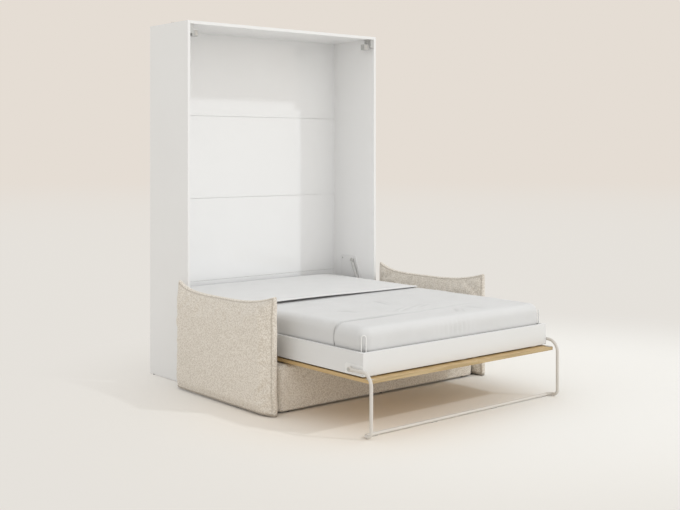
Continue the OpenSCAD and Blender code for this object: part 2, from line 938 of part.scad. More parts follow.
// Steel angles tie the seat frame to the cabinet's floor rail
module sofa_ties() {
    tie_x = in_x - 200;
    color("silver")
        for (s = [-1, 1])
            translate([s * tie_x - strip_w / 2, 0, 0]) {
                block([0, strip_w], [-2, frame_rear + 90], [sofa_glide_h - strip_t, sofa_glide_h]);
                block([0, strip_w], [-2, -2 + strip_t], [sofa_glide_h - strip_t, floor_rail_h - 15]);
            }
}

// Arm cushion: a flat pillow with pointed corners, drawn-in edges and a sewn flange
arm_rim = 7;
arm_seam = 0.965;
arm_floor = 2;

// Outline point of the arm at side q and share k along it, as offsets in f and z from its middle
function arm_edge(q, k) =
    let (a = arm_l / 2, b = (arm_h - arm_floor) / 2, bow = 1 - k * k)
        q == 0 ? [a - 14 * bow, k * b] :
        q == 1 ? [-k * a, b - arm_dip * bow] :
        q == 2 ? [-a + 14 * bow, -k * b] :
        [k * a, -b + 3 * bow];

arm_side_steps = 12;
arm_outline = [for (q = [0 : 3], i = [0 : arm_side_steps - 1]) arm_edge(q, 2 * i / arm_side_steps - 1)];

// Half thickness of the arm at a share s of the way from its middle to its edge
function arm_half(s) = s > arm_seam
    ? arm_rim / 2
    : arm_rim / 2 + (arm_t - arm_rim) / 2 * pow(1 - pow(s / arm_seam, 4), 0.62);

function arm_ring(s, side) = [for (p = arm_outline) [side * arm_half(s), -p[0] * s, p[1] * s]];

module arm_cushion() {
    shares = [0.3, 0.55, 0.75, 0.87, 0.93, 0.96, 0.985];
    count = len(shares);
    mid_z = (arm_h + arm_floor) / 2;
    color("linen")
        difference() {
            translate([arm_x, out(arm_rear + arm_l / 2), mid_z])
                ring_solid(concat(
                    [for (i = [0 : count - 1]) arm_ring(shares[i], 1)],
                    [[for (p = arm_outline) [0, -p[0], p[1]]]],
                    [for (i = [0 : count - 1]) arm_ring(shares[count - 1 - i], -1)]),
                    [arm_t / 2, 0, 0], [-arm_t / 2, 0, 0]);
            block(board_x + [-fit, fit], board_f + [-fit, fit], [-10, board_h + fit]);
            arm_strip(fit);
        }
}

on_side(-1) side_panel();  // side_panel_left
side_panel();  // side_panel_right
top_panel();
back_board(0);  // back_board_1
back_board(1);  // back_board_2
back_board(2);  // back_board_3
back_board(3);  // back_board_4
floor_rail();
cam_locks();
cabinet_glides();
wall_brackets();
on_side(-1) mechanism_plate();  // mechanism_plate_left
mechanism_plate();  // mechanism_plate_right
mechanism_screws();
hinge_pins();
strut_studs();
catches();
catch_magnets();
on_side(-1) rail();  // rail_left
rail();  // rail_right
footboard();
head_rail();
oak_panel([-panel_edge, seam_x - 1]);  // oak_panel_left
oak_panel([seam_x + 1, panel_edge]);  // oak_panel_right
side_tubes();
cross_tubes();
panel_spacers();
panel_screws();
slats();
slat_holders();
on_side(-1) bed_bracket();  // bed_bracket_left
bed_bracket();  // bed_bracket_right
bed_bracket_bolts();
hinge_bushes();
catch_strikes();
leg_plates();
leg_pins();
mattress_hoops();
mattress();
duvet();
turned_back_cover();
on_side(-1) leg_side();  // leg_side_left
leg_side();  // leg_side_right
leg_floor_bar();
leg_pads();
on_side(-1) strut_cylinder();  // strut_cylinder_left
strut_cylinder();  // strut_cylinder_right
on_side(-1) strut_rod();  // strut_rod_left
strut_rod();  // strut_rod_right
sofa_end_boards();
sofa_long_boards();
seat_panel();
seat_cover();
sofa_glides();
sofa_ties();
arm_strips();
arm_boards();
on_side(-1) arm_cushion();  // arm_left
arm_cushion();  // arm_right
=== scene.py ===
"""Looks of a wall bed with a seat block under it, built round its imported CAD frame."""

import contextlib
import json
import math

import bmesh
import bpy
import numpy as np
from mathutils import Matrix, Vector, noise


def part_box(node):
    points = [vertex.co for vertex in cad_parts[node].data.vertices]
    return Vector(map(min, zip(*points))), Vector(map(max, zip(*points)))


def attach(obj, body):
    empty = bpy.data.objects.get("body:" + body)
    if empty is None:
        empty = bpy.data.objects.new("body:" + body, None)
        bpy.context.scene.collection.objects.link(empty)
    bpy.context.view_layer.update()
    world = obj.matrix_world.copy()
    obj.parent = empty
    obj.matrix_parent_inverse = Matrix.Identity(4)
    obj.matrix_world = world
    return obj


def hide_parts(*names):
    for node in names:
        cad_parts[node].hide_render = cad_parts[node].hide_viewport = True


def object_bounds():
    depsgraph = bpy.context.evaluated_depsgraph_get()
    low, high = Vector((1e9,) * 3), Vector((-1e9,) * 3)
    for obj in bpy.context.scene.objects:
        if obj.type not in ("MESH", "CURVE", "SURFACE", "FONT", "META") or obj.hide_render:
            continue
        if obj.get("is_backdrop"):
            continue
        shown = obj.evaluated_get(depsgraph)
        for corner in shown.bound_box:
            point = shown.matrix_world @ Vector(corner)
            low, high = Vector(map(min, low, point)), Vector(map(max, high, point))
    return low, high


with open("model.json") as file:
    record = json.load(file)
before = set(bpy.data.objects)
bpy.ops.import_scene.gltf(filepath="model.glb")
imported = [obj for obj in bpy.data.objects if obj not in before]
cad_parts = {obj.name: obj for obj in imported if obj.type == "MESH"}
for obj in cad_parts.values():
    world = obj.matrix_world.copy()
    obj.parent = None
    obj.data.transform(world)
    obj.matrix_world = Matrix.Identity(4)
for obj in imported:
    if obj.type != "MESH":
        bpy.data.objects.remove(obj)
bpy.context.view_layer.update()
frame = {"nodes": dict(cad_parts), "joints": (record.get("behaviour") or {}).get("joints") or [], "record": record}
scene = bpy.context.scene


# Camera, lamps and floor.
# A camera at standing height looks level at the bed from its foot end, left of the middle.
# One lamp from the front right gives the shadows, a soft one and a pale room give the rest.
scene.view_settings.view_transform = "Standard"

camera_data = bpy.data.cameras.new("camera")
camera_data.sensor_width = 36.0
camera_data.lens = 56.1
camera_data.shift_y = -0.1546
camera_data.clip_end = 200.0
camera = bpy.data.objects.new("camera", camera_data)
camera.location = (-4.150, -4.8925, 1.418)
camera.rotation_euler = (math.radians(90), 0, math.radians(-39.93))
scene.collection.objects.link(camera)
scene.camera = camera


def lamp(name, turn, height, strength, spread, colour):
    """A distant lamp: turned from straight ahead towards the right, raised, and soft by its spread."""
    data = bpy.data.lights.new(name, "SUN")
    data.energy = strength
    data.angle = math.radians(spread)
    data.color = colour
    turn, height = math.radians(turn), math.radians(height)
    comes_from = Vector((
        math.sin(turn) * math.cos(height), -math.cos(turn) * math.cos(height), math.sin(height)
    ))
    piece = bpy.data.objects.new(name, data)
    piece.rotation_euler = comes_from.to_track_quat("Z", "Y").to_euler()
    scene.collection.objects.link(piece)


lamp("window", 35.5, 39, 0.66, 2.5, (0.91, 0.965, 1.0))
lamp("soft_front", 5, 20, 0.28, 50, (1.0, 0.93, 0.86))


def add(tree, kind, settings=None, ordered=(), **named):
    """A new node in a tree. An input, given in order or by name, is a value or an output to link."""
    node = tree.nodes.new(kind)
    for name, value in (settings or {}).items():
        setattr(node, name, value)
    given = list(zip(node.inputs, ordered))
    given += [(node.inputs[name.replace("_", " ")], value) for name, value in named.items()]
    for socket, value in given:
        if isinstance(value, bpy.types.NodeSocket):
            tree.links.new(value, socket)
        else:
            socket.default_value = value
    return node


def maths(tree, operation, *values, **settings):
    """The result of a sum on values and other nodes' outputs."""
    return add(tree, "ShaderNodeMath", {"operation": operation, **settings}, values).outputs[0]


def seen_rays(tree):
    """1 for rays that show the background as it is: from the camera, or by way of metal or glass."""
    path = add(tree, "ShaderNodeLightPath").outputs
    total = path["Is Camera Ray"]
    for kind in ("Is Glossy Ray", "Is Transmission Ray"):
        total = maths(tree, "ADD", total, path[kind], use_clamp=True)
    return total


def cleared(owner):
    """The emptied node tree of a world or a material."""
    owner.use_nodes = True
    owner.node_tree.nodes.clear()
    return owner.node_tree


BACKDROP = (0.783, 0.723, 0.658, 1)

world = bpy.data.worlds.new("pale_room")
scene.world = world
tree = cleared(world)
room = add(tree, "ShaderNodeBackground", Color=(1.0, 0.992, 0.972, 1), Strength=0.87)
seen = add(tree, "ShaderNodeBackground", Color=BACKDROP, Strength=1.0)
shown = add(tree, "ShaderNodeMixShader", None, (seen_rays(tree), room.outputs[0], seen.outputs[0]))
add(tree, "ShaderNodeOutputWorld", Surface=shown.outputs[0])

FLOOR_REACH = 60.0
floor_mesh = bpy.data.meshes.new("floor")
floor_mesh.from_pydata(
    [(x * FLOOR_REACH, y * FLOOR_REACH, 0) for x, y in ((-1, -1), (1, -1), (1, 1), (-1, 1))],
    [],
    [(0, 1, 2, 3)],
)
floor = bpy.data.objects.new("floor", floor_mesh)
scene.collection.objects.link(floor)
floor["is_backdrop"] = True

# The floor takes light and shadow near the bed and fades to its own plain tone further out.
# A pool of light is painted into both tones, palest in front of the bed's right foot, and they are warmer towards
# the backdrop.
PAINTED_LIGHT_POOL = (1.2, -0.9, 0)
UNDER_BED = (-0.45, -0.50, 0)
BED_PLACE = (0.55, -0.75, 0)
LIT_TONES = (0.90, 0.885, 0.855, 1), (0.815, 0.785, 0.740, 1)
PAINTED_SHADE_TONE = (0.895, 0.830, 0.750, 1)
PLAIN_TONES = (0.855, 0.840, 0.805, 1), (0.787, 0.757, 0.712, 1)

floor_finish = bpy.data.materials.new("floor")
tree = cleared(floor_finish)
on_floor = add(tree, "ShaderNodeTexCoord").outputs["Object"]


def by_distance(centre, near, far):
    """A share from 0 near a point on the floor to 1 far from it."""
    apart = add(tree, "ShaderNodeVectorMath", {"operation": "DISTANCE"}, (on_floor, centre))
    share = add(
        tree, "ShaderNodeMapRange", {"interpolation_type": "SMOOTHSTEP"},
        Value=apart.outputs["Value"], From_Min=near, From_Max=far,
    )
    return share.outputs[0]


def two_tone(tree, share, near, far):
    """A colour between two tones, each a colour or the output of another node."""
    tone = add(tree, "ShaderNodeMix", {"data_type": "RGBA"}, Factor=share, A=near, B=far)
    return tone.outputs["Result"]


lit = two_tone(tree, by_distance(PAINTED_LIGHT_POOL, 0.8, 3.2), *LIT_TONES)
# A warm shade is painted into the floor's tone under the bed, where its shadow falls
lit = two_tone(tree, by_distance(UNDER_BED, 0.20, 1.15), PAINTED_SHADE_TONE, lit)
plain = two_tone(tree, by_distance(PAINTED_LIGHT_POOL, 0.8, 3.0), *PLAIN_TONES)
plain = two_tone(tree, by_distance(PAINTED_LIGHT_POOL, 5.0, 45.0), plain, BACKDROP)
matt = add(tree, "ShaderNodeBsdfDiffuse", Color=lit)
glow = add(tree, "ShaderNodeEmission", Color=plain, Strength=1.0)
seen_far = maths(tree, "MULTIPLY", by_distance(BED_PLACE, 1.25, 3.1), seen_rays(tree))
shown = add(tree, "ShaderNodeMixShader", None, (seen_far, matt.outputs[0], glow.outputs[0]))
add(tree, "ShaderNodeOutputMaterial", Surface=shown.outputs[0])
floor_mesh.materials.append(floor_finish)


# Cabinet.
# Six pale laminated boards: two sides, a top, and a back of four boards with fine seams.
# The sides stand on glides and are held to the top and back by cam locks.
def new_finish(name, tone, roughness, **inputs):
    """A material with a Principled shader, its inputs given by name."""
    finish = bpy.data.materials.new(name)
    finish.use_nodes = True
    shader = finish.node_tree.nodes["Principled BSDF"]
    shader.inputs["Base Color"].default_value = (*tone, 1)
    shader.inputs["Roughness"].default_value = roughness
    for key, value in inputs.items():
        shader.inputs[key.replace("_", " ")].default_value = value
    return finish


def on_piece(tree, stretch=(1, 1, 1)):
    """Object coordinates of a piece; a pattern on them is finer along an axis with more stretch."""
    place = add(tree, "ShaderNodeTexCoord").outputs["Object"]
    return add(tree, "ShaderNodeMapping", Vector=place, Scale=stretch).outputs[0]


def speckle(tree, place, scale, detail, roughness=0.5):
    """The outputs of a noise, so many lumps to the metre, with so many finer layers."""
    return add(
        tree, "ShaderNodeTexNoise", Vector=place, Scale=scale, Detail=detail, Roughness=roughness
    ).outputs


def coloured(tree, share, *stops):
    """Colours a finish by a share from 0 to 1; each stop is a share and its tone."""
    ramp = add(tree, "ShaderNodeValToRGB", None, (share,))
    row = ramp.color_ramp.elements
    for end in (0, -1):
        row[end].position = stops[end][0]
        row[end].color = (*stops[end][1], 1)
    for position, tone in stops[1:-1]:
        row.new(position).color = (*tone, 1)
    tree.links.new(ramp.outputs[0], tree.nodes["Principled BSDF"].inputs["Base Color"])


def raised(tree, height, depth):
    """Gives a finish relief from the height of a pattern, so many metres deep."""
    bump = add(tree, "ShaderNodeBump", Strength=1.0, Distance=depth, Height=height)
    tree.links.new(bump.outputs[0], tree.nodes["Principled BSDF"].inputs["Normal"])


def tinted(name, dark, light, clouds, roughness, **inputs):
    """A finish whose tone drifts between two in soft clouds."""
    middle = [(low + high) / 2 for low, high in zip(dark, light)]
    finish = new_finish(name, middle, roughness, **inputs)
    tree = finish.node_tree
    coloured(tree, speckle(tree, on_piece(tree), clouds, 3.0)["Fac"], (0.3, dark), (0.7, light))
    return finish


def grain(finish, grit, depth, rough=None, stretch=(1, 1, 1)):
    """Fine relief from noise; rough is the least and the most that the roughness varies between."""
    tree = finish.node_tree
    fine = speckle(tree, on_piece(tree, stretch), grit, 2.0)["Fac"]
    raised(tree, fine, depth)
    if rough:
        uneven = add(tree, "ShaderNodeMapRange", Value=fine, To_Min=rough[0], To_Max=rough[1])
        tree.links.new(uneven.outputs[0], tree.nodes["Principled BSDF"].inputs["Roughness"])


def coated(name, dark, light, clouds, rough, grit, depth, stretch=(1, 1, 1), **inputs):
    """A hard finish: its tone drifts, its relief is fine and its roughness is uneven."""
    finish = tinted(name, dark, light, clouds, rough[0], **inputs)
    grain(finish, grit, depth, rough, stretch)
    return finish


def laminate(name, dark, light, rough):
    """Pale board with a fine pearl in its surface."""
    return coated(name, dark, light, clouds=2.5, rough=rough, grit=900, depth=0.00003, IOR=1.45)


def plastic(name, dark, light):
    """Moulded plastic with a satin skin."""
    return coated(name, dark, light, clouds=40, rough=(0.42, 0.58), grit=1800, depth=0.00005)


white_laminate = laminate("white_laminate", (0.824, 0.824, 0.823), (0.838, 0.839, 0.840), (0.33, 0.44))
inner_painted_light = laminate("white_laminate_inner_painted_light", (0.914, 0.914, 0.913), (0.926, 0.927, 0.928), (0.31, 0.42))
polished = coated(
    "polished_laminate", (0.853, 0.858, 0.863), (0.868, 0.873, 0.878), clouds=2.0, rough=(0.26, 0.34),
    grit=700, depth=0.00001, Coat_Weight=1.0, Coat_Roughness=0.02, Coat_IOR=1.7,
)
zinc = coated(
    "zinc_plated_steel", (0.52, 0.52, 0.50), (0.66, 0.66, 0.65), clouds=60, rough=(0.28, 0.45),
    grit=500, depth=0.00004, Metallic=1.0,
)
black_plastic = plastic("black_plastic", (0.030, 0.030, 0.031), (0.044, 0.044, 0.045))

body_of_node = {
    node: body for body, nodes in frame["record"]["behaviour"]["bodies"].items() for node in nodes
}


def stands_for(piece, node, finish=None):
    """Puts a finished piece in the place of a CAD node, on the same body."""
    if finish:
        piece.data.materials.clear()
        piece.data.materials.append(finish)
    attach(piece, body_of_node[node])
    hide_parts(node)
    return piece


def new_piece(name, mesh):
    """An object at the origin that shows a mesh."""
    piece = bpy.data.objects.new(name, mesh)
    scene.collection.objects.link(piece)
    return piece


@contextlib.contextmanager
def edited(mesh, result=None):
    """Opens a mesh for changes, which are then written to it or to another mesh."""
    bm = bmesh.new()
    bm.from_mesh(mesh)
    yield bm
    bm.to_mesh(result or mesh)
    bm.free()


# Points nearer than this are one, faces that turn less are flat, and edges that turn more are sharp
ONE_POINT = 0.00001
FLAT_TURN = math.radians(0.5)
SHARP_TURN = 30


def smoothed(bm, sharp):
    """Smooth faces, with a sharp edge wherever two of them turn by more than some degrees."""
    for face in bm.faces:
        face.smooth = True
    for edge in bm.edges:
        edge.smooth = edge.calc_face_angle(math.pi) < math.radians(sharp)


def dressed(node, finish, ease=0.0):
    """A joined-up copy of a CAD node with smooth curves, sharp corners and eased edges."""
    mesh = bpy.data.meshes.new(node + "_piece")
    with edited(frame["nodes"][node].data, mesh) as bm:
        bmesh.ops.remove_doubles(bm, verts=bm.verts, dist=ONE_POINT)
        bmesh.ops.dissolve_limit(bm, angle_limit=FLAT_TURN, verts=bm.verts, edges=bm.edges)
        smoothed(bm, SHARP_TURN)
    piece = new_piece(node + "_piece", mesh)
    if ease:
        bevel = piece.modifiers.new("eased_edges", "BEVEL")
        bevel.width = ease
        bevel.segments = 2
        bevel.limit_method = "ANGLE"
        bevel.angle_limit = math.radians(SHARP_TURN)
        bevel.use_clamp_overlap = True
        bevel.harden_normals = True
    return stands_for(piece, node, finish)


def faced(piece, finish, *directions):
    """Gives the faces of a piece that look along some directions a second finish."""
    piece.data.materials.append(finish)
    for face in piece.data.polygons:
        if any(face.normal.dot(Vector(direction)) > 0.9 for direction in directions):
            face.material_index = 1


BOARD_EASE = 0.0012
# The boards' inward faces take a lighter copy of the white laminate: painted light inside the cabinet
for node, ease, inward in (
    ("side_panel_left", BOARD_EASE, (1, 0, 0)),
    ("side_panel_right", BOARD_EASE, (-1, 0, 0)),
    ("top_panel", 0.0, (0, 0, -1)),
):
    faced(dressed(node, white_laminate, ease), inner_painted_light, inward)
dressed("floor_rail", white_laminate, BOARD_EASE)


def add_box(piece, low, high):
    """Adds a plain box to a piece."""
    low, high = Vector(low), Vector(high)
    place = Matrix.Translation((low + high) / 2) @ Matrix.Diagonal((*(high - low), 1))
    with edited(piece.data) as bm:
        bmesh.ops.create_cube(bm, size=1, matrix=place)


# Each back board but the top one has a tongue that closes the seam above it
SEAM = 0.002
TONGUE = 0.006
for number in (1, 2, 3, 4):
    board = dressed(f"back_board_{number}", polished)
    low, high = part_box(f"back_board_{number}")
    middle = (low.y + high.y) / 2
    if number < 4:
        add_box(
            board, (low.x, middle - TONGUE / 2, high.z), (high.x, middle + TONGUE / 2, high.z + SEAM)
        )

dressed("cam_locks", zinc)
dressed("cabinet_glides", black_plastic)
dressed("wall_brackets", zinc, ease=0.0006)


# Lift mechanism.
# A pressed steel plate on each side panel carries a hinge pin and the upper stud of a gas strut.
# The strut's rod pushes on a bracket that is bolted to the bed box.
def paint(name, dark, light, rough):
    """Sprayed paint with a slight orange peel."""
    return coated(name, dark, light, clouds=12, rough=rough, grit=650, depth=0.00006, IOR=1.48)


cylinder_paint = paint("pale_grey_paint", (0.585, 0.585, 0.575), (0.615, 0.615, 0.605), (0.36, 0.5))
plate_paint = paint("hinge_plate_paint", (0.85, 0.85, 0.85), (0.87, 0.87, 0.87), (0.36, 0.5))
white_paint = paint("white_paint", (0.79, 0.79, 0.78), (0.81, 0.81, 0.80), (0.34, 0.48))
grey_plastic = plastic("grey_plastic", (0.48, 0.48, 0.47), (0.52, 0.52, 0.51))
chrome = coated(
    "polished_rod", (0.68, 0.68, 0.68), (0.74, 0.74, 0.74), clouds=30, rough=(0.08, 0.18),
    grit=900, depth=0.00001, stretch=(1, 12, 1), Metallic=1.0,
)
ivory_plastic = tinted(
    "ivory_plastic", (0.66, 0.63, 0.54), (0.70, 0.67, 0.585), clouds=35, roughness=0.45,
    Subsurface_Weight=0.05,
)
grain(ivory_plastic, grit=1500, depth=0.00004)

for side in ("left", "right"):
    dressed(f"mechanism_plate_{side}", plate_paint, ease=0.0007)
    dressed(f"bed_bracket_{side}", zinc)
    dressed(f"strut_cylinder_{side}", cylinder_paint)
    dressed(f"strut_rod_{side}", chrome)
dressed("hinge_pins", zinc)
dressed("strut_studs", zinc)
dressed("hinge_bushes", ivory_plastic)
dressed("catches", grey_plastic, ease=0.0012)
dressed("catch_magnets", zinc)
dressed("catch_strikes", zinc, ease=0.0004)


def baked(name, source):
    """The evaluated object as a clean mesh of its own; the source goes."""
    depsgraph = bpy.context.evaluated_depsgraph_get()
    mesh = bpy.data.meshes.new_from_object(source.evaluated_get(depsgraph))
    mesh.name = name
    with edited(mesh) as bm:
        bmesh.ops.remove_doubles(bm, verts=bm.verts, dist=0.00002)
        bmesh.ops.dissolve_degenerate(bm, edges=bm.edges, dist=0.00001)
    bpy.data.objects.remove(source)
    return new_piece(name, mesh)


def new_tree(name, **inputs):
    """An empty Geometry Nodes tree with named inputs, and their outputs inside it to link from."""
    tree = bpy.data.node_groups.new(name, "GeometryNodeTree")
    for label, kind in inputs.items():
        tree.interface.new_socket(
            label.replace("_", " "), in_out="INPUT", socket_type="NodeSocket" + kind
        )
    tree.interface.new_socket("Piece", in_out="OUTPUT", socket_type="NodeSocketGeometry")
    return tree, add(tree, "NodeGroupInput").outputs


def end_tree(tree, shape, finish):
    """Makes a tree's shape real, gives it its material and sends it out."""
    real = add(tree, "GeometryNodeRealizeInstances", Geometry=shape)
    done = add(tree, "GeometryNodeSetMaterial", Geometry=real.outputs[0], Material=finish)
    add(tree, "NodeGroupOutput", None, (done.outputs[0],))


# Shares of a button head: how high its rim is, how wide its crown, how high its socket starts
RIM = 0.62
CROWN = 0.86
SOCKET_FLOOR = 0.35


def screw_tree():
    """A button-head screw with a hexagon socket at each point, turned to face out."""
    tree, given = new_tree(
        "socket_screws", Places="Geometry", Head_radius="Float", Head_height="Float",
        Socket_radius="Float", Shank_radius="Float", Shank_length="Float", Finish="Material",
    )

    def scaled(value, factor):
        return maths(tree, "MULTIPLY", value, factor)

    def rod(sides, radius, depth, low):
        """A cylinder of some sides, standing on a height."""
        body = add(tree, "GeometryNodeMeshCylinder", Vertices=sides, Radius=radius, Depth=depth)
        lift = add(tree, "ShaderNodeCombineXYZ", Z=maths(tree, "MULTIPLY_ADD", depth, 0.5, low))
        return add(
            tree, "GeometryNodeTransform", Geometry=body.outputs["Mesh"], Translation=lift.outputs[0]
        ).outputs[0]

    head_radius, head_height, shank_length = (
        given["Head radius"], given["Head height"], given["Shank length"]
    )
    rim = rod(32, head_radius, scaled(head_height, RIM), 0.0)
    crown = rod(32, scaled(head_radius, CROWN), head_height, 0.0)
    shank = rod(16, given["Shank radius"], shank_length, scaled(shank_length, -1.0))
    key = rod(6, given["Socket radius"], head_height, scaled(head_height, SOCKET_FLOOR))
    whole = add(tree, "GeometryNodeMeshBoolean", {"operation": "UNION", "solver": "EXACT"})
    for part in (rim, crown, shank):
        tree.links.new(part, whole.inputs["Mesh 2"])
    cut = add(
        tree, "GeometryNodeMeshBoolean", {"operation": "DIFFERENCE", "solver": "EXACT"},
        Mesh_1=whole.outputs["Mesh"], Mesh_2=key,
    )
    facing = add(tree, "GeometryNodeInputNamedAttribute", {"data_type": "FLOAT_VECTOR"}, Name="facing")
    turn = add(
        tree, "FunctionNodeAlignRotationToVector", {"axis": "Z"}, Vector=facing.outputs["Attribute"]
    )
    placed = add(
        tree, "GeometryNodeInstanceOnPoints", Points=given["Places"],
        Instance=cut.outputs["Mesh"], Rotation=turn.outputs["Rotation"],
    )
    end_tree(tree, placed.outputs[0], given["Finish"])
    return tree


socket_screws = screw_tree()


def use_tree(piece, tree, **values):
    """A Geometry Nodes modifier on piece, its inputs set by identifier."""
    modifier = piece.modifiers.new(tree.name, "NODES")
    modifier.node_group = tree
    names = {item.name: item.identifier for item in tree.interface.items_tree if item.in_out == "INPUT"}
    for name, value in values.items():
        modifier[names[name.replace("_", " ")]] = value


def loose_parts(node):
    """Low and high corner of each loose part of a CAD node."""
    bm = bmesh.new()
    bm.from_mesh(frame["nodes"][node].data)
    bmesh.ops.remove_doubles(bm, verts=bm.verts, dist=ONE_POINT)
    seen, boxes = set(), []
    for first in bm.verts:
        if first in seen:
            continue
        part, edge = {first}, [first]
        while edge:
            vertex = edge.pop()
            for link in vertex.link_edges:
                other = link.other_vert(vertex)
                if other not in part:
                    part.add(other)
                    edge.append(other)
        seen |= part
        points = np.array([v.co for v in part])
        boxes.append((points.min(0), points.max(0)))
    bm.free()
    return boxes


def screws_from(node, name, heads, head_height, head_radius, socket_radius, shank_radius):
    """Zinc socket screws in place of a CAD node's plain ones. Their heads look away from the bed's
    middle where heads is 1, and towards it where heads is -1."""
    places, facing, lengths = [], [], []
    for low, high in loose_parts(node):
        middle = (low + high) / 2
        out = heads if middle[0] > 0 else -heads
        seat = high[0] - head_height if out > 0 else low[0] + head_height
        places.append((seat, middle[1], middle[2]))
        facing += [out, 0, 0]
        lengths.append(high[0] - low[0] - head_height)
    mesh = bpy.data.meshes.new(name + "_places")
    mesh.from_pydata(places, [], [])
    mesh.attributes.new("facing", "FLOAT_VECTOR", "POINT").data.foreach_set("vector", facing)
    source = new_piece(name + "_places", mesh)
    use_tree(
        source, socket_screws, Finish=zinc, Head_radius=head_radius, Head_height=head_height,
        Socket_radius=socket_radius, Shank_radius=shank_radius, Shank_length=float(min(lengths)),
    )
    stands_for(baked(name, source), node)


screws_from(
    "mechanism_screws", "mechanism_screw_set", heads=-1,
    head_height=0.0025, head_radius=0.006, socket_radius=0.0026, shank_radius=0.003,
)
screws_from(
    "bed_bracket_bolts", "bracket_bolt_set", heads=1,
    head_height=0.0025, head_radius=0.0068, socket_radius=0.0032, shank_radius=0.004,
)


# Bed box.
# Four laminated boards joined at the corners hold the frame, the slats and the mattress. A band closes their
# top edges; it is whiter than the boards, as painted light on the faces that look up.
# The box's boards take a darker copy of the cabinet's white laminate: painted shade
shaded_box_laminate = laminate("bed_box_laminate_painted_shade", (0.733, 0.733, 0.727), (0.747, 0.747, 0.742), (0.34, 0.45))
top_edge_painted_light = laminate("top_edge_painted_light", (0.874, 0.874, 0.872), (0.886, 0.886, 0.886), (0.30, 0.40))
for node in ("rail_left", "rail_right", "footboard", "head_rail"):
    faced(dressed(node, shaded_box_laminate, BOARD_EASE), top_edge_painted_light, (0, 0, 1))


# Oak front.
# Two veneered boards with solid lippings hang under the box on spacers. They are the cabinet's front
# when the bed is up, so the figure of the wood runs along the bed.
def warped(tree, place, scale, detail, reach):
    """Places pushed about by noise, by up to reach along each axis."""
    push = speckle(tree, place, scale, detail)["Color"]
    return add(
        tree, "ShaderNodeVectorMath", {"operation": "MULTIPLY_ADD"}, (push, (reach, reach, reach), place)
    ).outputs[0]


def wood(name, dark, mid, light, ring_scale, relief, along=(1.0, 0.09, 1.0)):
    """Wood whose figure is drawn out along its grain: year rings, streaks and fine fibre."""
    finish = new_finish(name, mid, 0.45, IOR=1.47)
    tree = finish.node_tree
    place = on_piece(tree, along)
    wavy = warped(tree, place, 2.2, 3.0, 0.10)
    rings = add(
        tree, "ShaderNodeTexWave", {"wave_type": "BANDS", "bands_direction": "X"}, Vector=wavy,
        Scale=ring_scale, Distortion=11.0, Detail=4.0, Detail_Scale=1.1, Detail_Roughness=0.6,
    ).outputs
    streaks = speckle(tree, wavy, 42, 5.0, 0.65)
    fibre = speckle(tree, place, 260, 4.0, 0.6)
    figure = 0.0
    for pattern, share in ((rings, 0.20), (streaks, 0.45), (fibre, 0.35)):
        figure = maths(tree, "MULTIPLY_ADD", pattern["Fac"], share, figure)
    coloured(tree, figure, (0.32, dark), (0.50, mid), (0.70, light))
    raised(tree, fibre["Fac"], relief)
    return finish


oak = wood(
    "oak_veneer", (0.49, 0.335, 0.15), (0.565, 0.395, 0.185), (0.62, 0.445, 0.22),
    ring_scale=3.2, relief=0.00012,
)
oak_lipping = wood(
    "oak_lipping", (0.37, 0.26, 0.12), (0.47, 0.345, 0.18), (0.57, 0.435, 0.25),
    ring_scale=9.0, relief=0.00012, along=(0.05, 1.0, 4.0),
)
for node in ("oak_panel_left", "oak_panel_right"):
    faced(dressed(node, oak, BOARD_EASE), oak_lipping, (0, 1, 0), (0, -1, 0))


# Steel frame and slats.
# Side tubes carry the cross tubes, and the oak hangs from those on spacers and long screws.
# Birch slats lie in plastic holders on the side tubes.
grey_paint = coated(
    "grey_beige_paint", (0.645, 0.615, 0.57), (0.675, 0.645, 0.60), clouds=9, rough=(0.32, 0.46),
    grit=700, depth=0.00005, IOR=1.5,
)
for node in ("side_tubes", "cross_tubes", "panel_spacers"):
    dressed(node, grey_paint)
dressed("leg_plates", white_paint)
dressed("panel_screws", zinc)
dressed("leg_pins", zinc)

birch = wood(
    "birch_slats", (0.60, 0.47, 0.30), (0.66, 0.53, 0.35), (0.71, 0.59, 0.41),
    ring_scale=9.0, relief=0.0001, along=(0.09, 1.0, 1.0),
)
dressed("slats", birch, ease=0.0015)
dressed("slat_holders", black_plastic, ease=0.0008)


# Mattress.
# A foam block in a knitted cover, with a piped seam round its top and its underside.
# It lies loose on the slats, between the rails.
def even(count):
    """Grid lines from -1 to 1, evenly apart."""
    return np.linspace(-1, 1, count + 1)


def rounded(a, b, r, along_x, along_y):
    """Points round a rectangle of half sizes a and b with corners of radius r, one for each grid line."""
    lap = [(x, -1) for x in along_x[:-1]] + [(1, y) for y in along_y[:-1]]
    lap += [(x, 1) for x in along_x[:0:-1]] + [(-1, y) for y in along_y[:0:-1]]
    lap = np.array(lap) * (a, b)
    inner = np.clip(lap, (r - a, r - b), (a - r, b - r))
    away = lap - inner
    length = np.linalg.norm(away, axis=1, keepdims=True)
    return np.where(length > r, inner + away / np.maximum(length, 1e-9) * r, lap)


